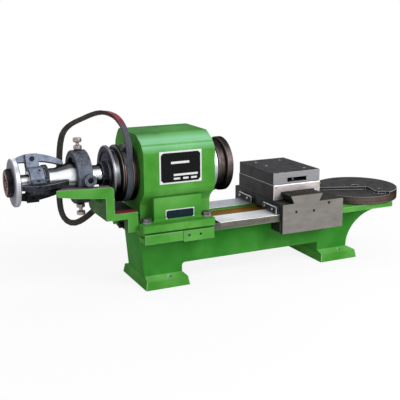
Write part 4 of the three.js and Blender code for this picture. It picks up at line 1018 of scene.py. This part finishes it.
def saddle_screws():
    """Set screws deep in their holes in the saddle's front."""
    front = (FROM_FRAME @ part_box("saddle")[0]).y
    set_back, length, radius = 5.9, 3.2, 2.7
    for number, (x, z) in enumerate(SADDLE_SCREWS, 1):
        bm = eased(cylinder((x, front + set_back, z), -Y, length, radius), 0.3)
        finished(f"saddle_set_screw_{number}", bm, "saddle", [dark_iron_and_shade], slot="dark_steel")


# Places on the belt, as x or as heights over the spindle's axis
LOOP_MIDDLE = Vector((-290, 0, AXIS))
FRONT_RUN_LEFT = -262
FRONT_RUN_BACK = 10
PULLEY_RUN = -231
PULLEY_RUN_HALF = 6
LOWER_RUN = -12
RED_LOW, RED_HIGH = 98, 119
OUTWARD = 0.55
RIDGE_ANGLE = math.radians(40)


def belt():
    bm = merged_copy("drive_belt")
    bmesh.ops.join_triangles(bm, faces=bm.faces, angle_face_threshold=math.radians(35),
                             angle_shape_threshold=math.radians(80))
    ridges = [e for e in bm.edges if e.calc_face_angle(0) > RIDGE_ANGLE]
    bm = eased(bm, 0.9, 2, ridges)

    def rule(place, normal):
        height = place.z - AXIS
        if normal.x < -HALFWAY and height < LOWER_RUN:
            return belt_back
        outward = place - LOOP_MIDDLE
        if abs(place.x - PULLEY_RUN) < PULLEY_RUN_HALF:
            outward.x = 0
        in_front = place.x > FRONT_RUN_LEFT and place.y < FRONT_RUN_BACK
        if not in_front or normal.dot(outward.normalized()) < OUTWARD:
            return belt_side
        return belt_red if RED_LOW < height < RED_HIGH else belt_back

    finished("drive_belt_body", bm, "drive_belt", [belt_side, belt_back, belt_red], rule, smooth=45)


# Floor, light and camera
def seen_or_mirrored(tree):
    """1 for a ray from the camera or from a bright or clear surface, 0 for the light's own."""
    rays = add(tree, "LightPath").node.outputs
    seen = add(tree, "Math", {0: rays["Is Camera Ray"], 1: rays["Is Glossy Ray"]}, operation="MAXIMUM")
    return add(tree, "Math", {0: seen, 1: rays["Is Transmission Ray"]}, operation="MAXIMUM")


# Lamps in metres and watts: name, place, size and power
LAMPS = (
    ("key", (1.0, -1.75, 1.35), 1.5, 48), ("fill", (-1.6, -1.6, 1.1), 1.0, 5),
    ("top", (0.2, 0.5, 2.1), 1.2, 6), ("back", (-0.5, 2.0, 0.9), 1.2, 9),
)
LAMP_TARGET = Vector((0, 0, 0.14))
FLOOR_SIZE = 6


def studio():
    """A white floor that keeps the machine's shadow, a white backdrop and four soft lamps."""
    floor = bpy.data.meshes.new("floor")
    bm = bmesh.new()
    bmesh.ops.create_grid(bm, x_segments=1, y_segments=1, size=FLOOR_SIZE)
    bmesh.ops.translate(bm, vec=(0, 0, -0.5 * MM), verts=bm.verts)
    bm.to_mesh(floor)
    bm.free()
    ground = bpy.data.objects.new("floor", floor)
    bpy.context.scene.collection.objects.link(ground)
    material, tree, shader, place = surface("white_floor", Base_Color="#fafafa", Roughness=0.9)
    glow = add(tree, "Emission", {"Color": "#ffffff", "Strength": 1.0})
    away = add(tree, "VectorMath", {0: place}, "Value", operation="LENGTH")
    whitened = add(tree, "MapRange", span(away, 0.4, 1.0, 0.86, 1.0))
    share = add(tree, "Math", {0: seen_or_mirrored(tree), 1: whitened}, operation="MULTIPLY")
    lit = add(tree, "MixShader", {0: share, 1: shader.outputs["BSDF"], 2: glow})
    feed(tree, tree.nodes["Material Output"], {"Surface": lit})
    floor.materials.append(material)

    world = bpy.data.worlds.new("studio")
    bpy.context.scene.world = world
    world.use_nodes = True
    tree = world.node_tree
    soft = tree.nodes["Background"]
    feed(tree, soft, {"Color": "#f4f6f8", "Strength": 0.34})
    white = add(tree, "Background", {"Color": "#ffffff", "Strength": 1.0})
    lit = add(tree, "MixShader", {0: seen_or_mirrored(tree), 1: soft.outputs["Background"], 2: white})
    feed(tree, tree.nodes["World Output"], {"Surface": lit})

    for name, place, size, power in LAMPS:
        lamp = bpy.data.lights.new(name, "AREA")
        lamp.size = size
        lamp.energy = power
        light = bpy.data.objects.new(name, lamp)
        light.location = place
        light.rotation_euler = (LAMP_TARGET - Vector(place)).to_track_quat("-Z", "Y").to_euler()
        bpy.context.scene.collection.objects.link(light)


def photo_camera():
    """The photograph's viewpoint, found from the ways, the spindle and the feet."""
    place = Vector((-689.62, -1346.81, 512.7))
    focal_pixels = 758.52
    frame_pixels = 400
    yaw, pitch, roll = (math.radians(d) for d in (24.87, 13.76, -0.4))
    forward = Vector((math.sin(yaw) * math.cos(pitch), math.cos(yaw) * math.cos(pitch), -math.sin(pitch)))
    level = Vector((math.cos(yaw), -math.sin(yaw), 0))
    upward = level.cross(forward)
    right = level * math.cos(roll) + upward * math.sin(roll)
    above = upward * math.cos(roll) - level * math.sin(roll)
    lens = bpy.data.cameras.new("camera")
    lens.sensor_width = 36
    lens.lens = focal_pixels / frame_pixels * lens.sensor_width
    lens.clip_end = 50
    camera = bpy.data.objects.new("camera", lens)
    turn = Matrix((right, above, -forward)).transposed().to_4x4()
    camera.matrix_world = Matrix.Translation(TO_FRAME @ place) @ turn
    bpy.context.scene.collection.objects.link(camera)
    bpy.context.scene.camera = camera


photo_camera()
studio()
bed()
headstock()
plates()
green_small_castings()
carriage()
pulley()
flange()
turned_nodes()
closer()
tail_disc()
bolts()
wipers()
block_screws()
slide_screws()
window_screw()
saddle_screws()
belt()

bpy.context.scene.view_settings.view_transform = "Standard"
bpy.context.view_layer.update()
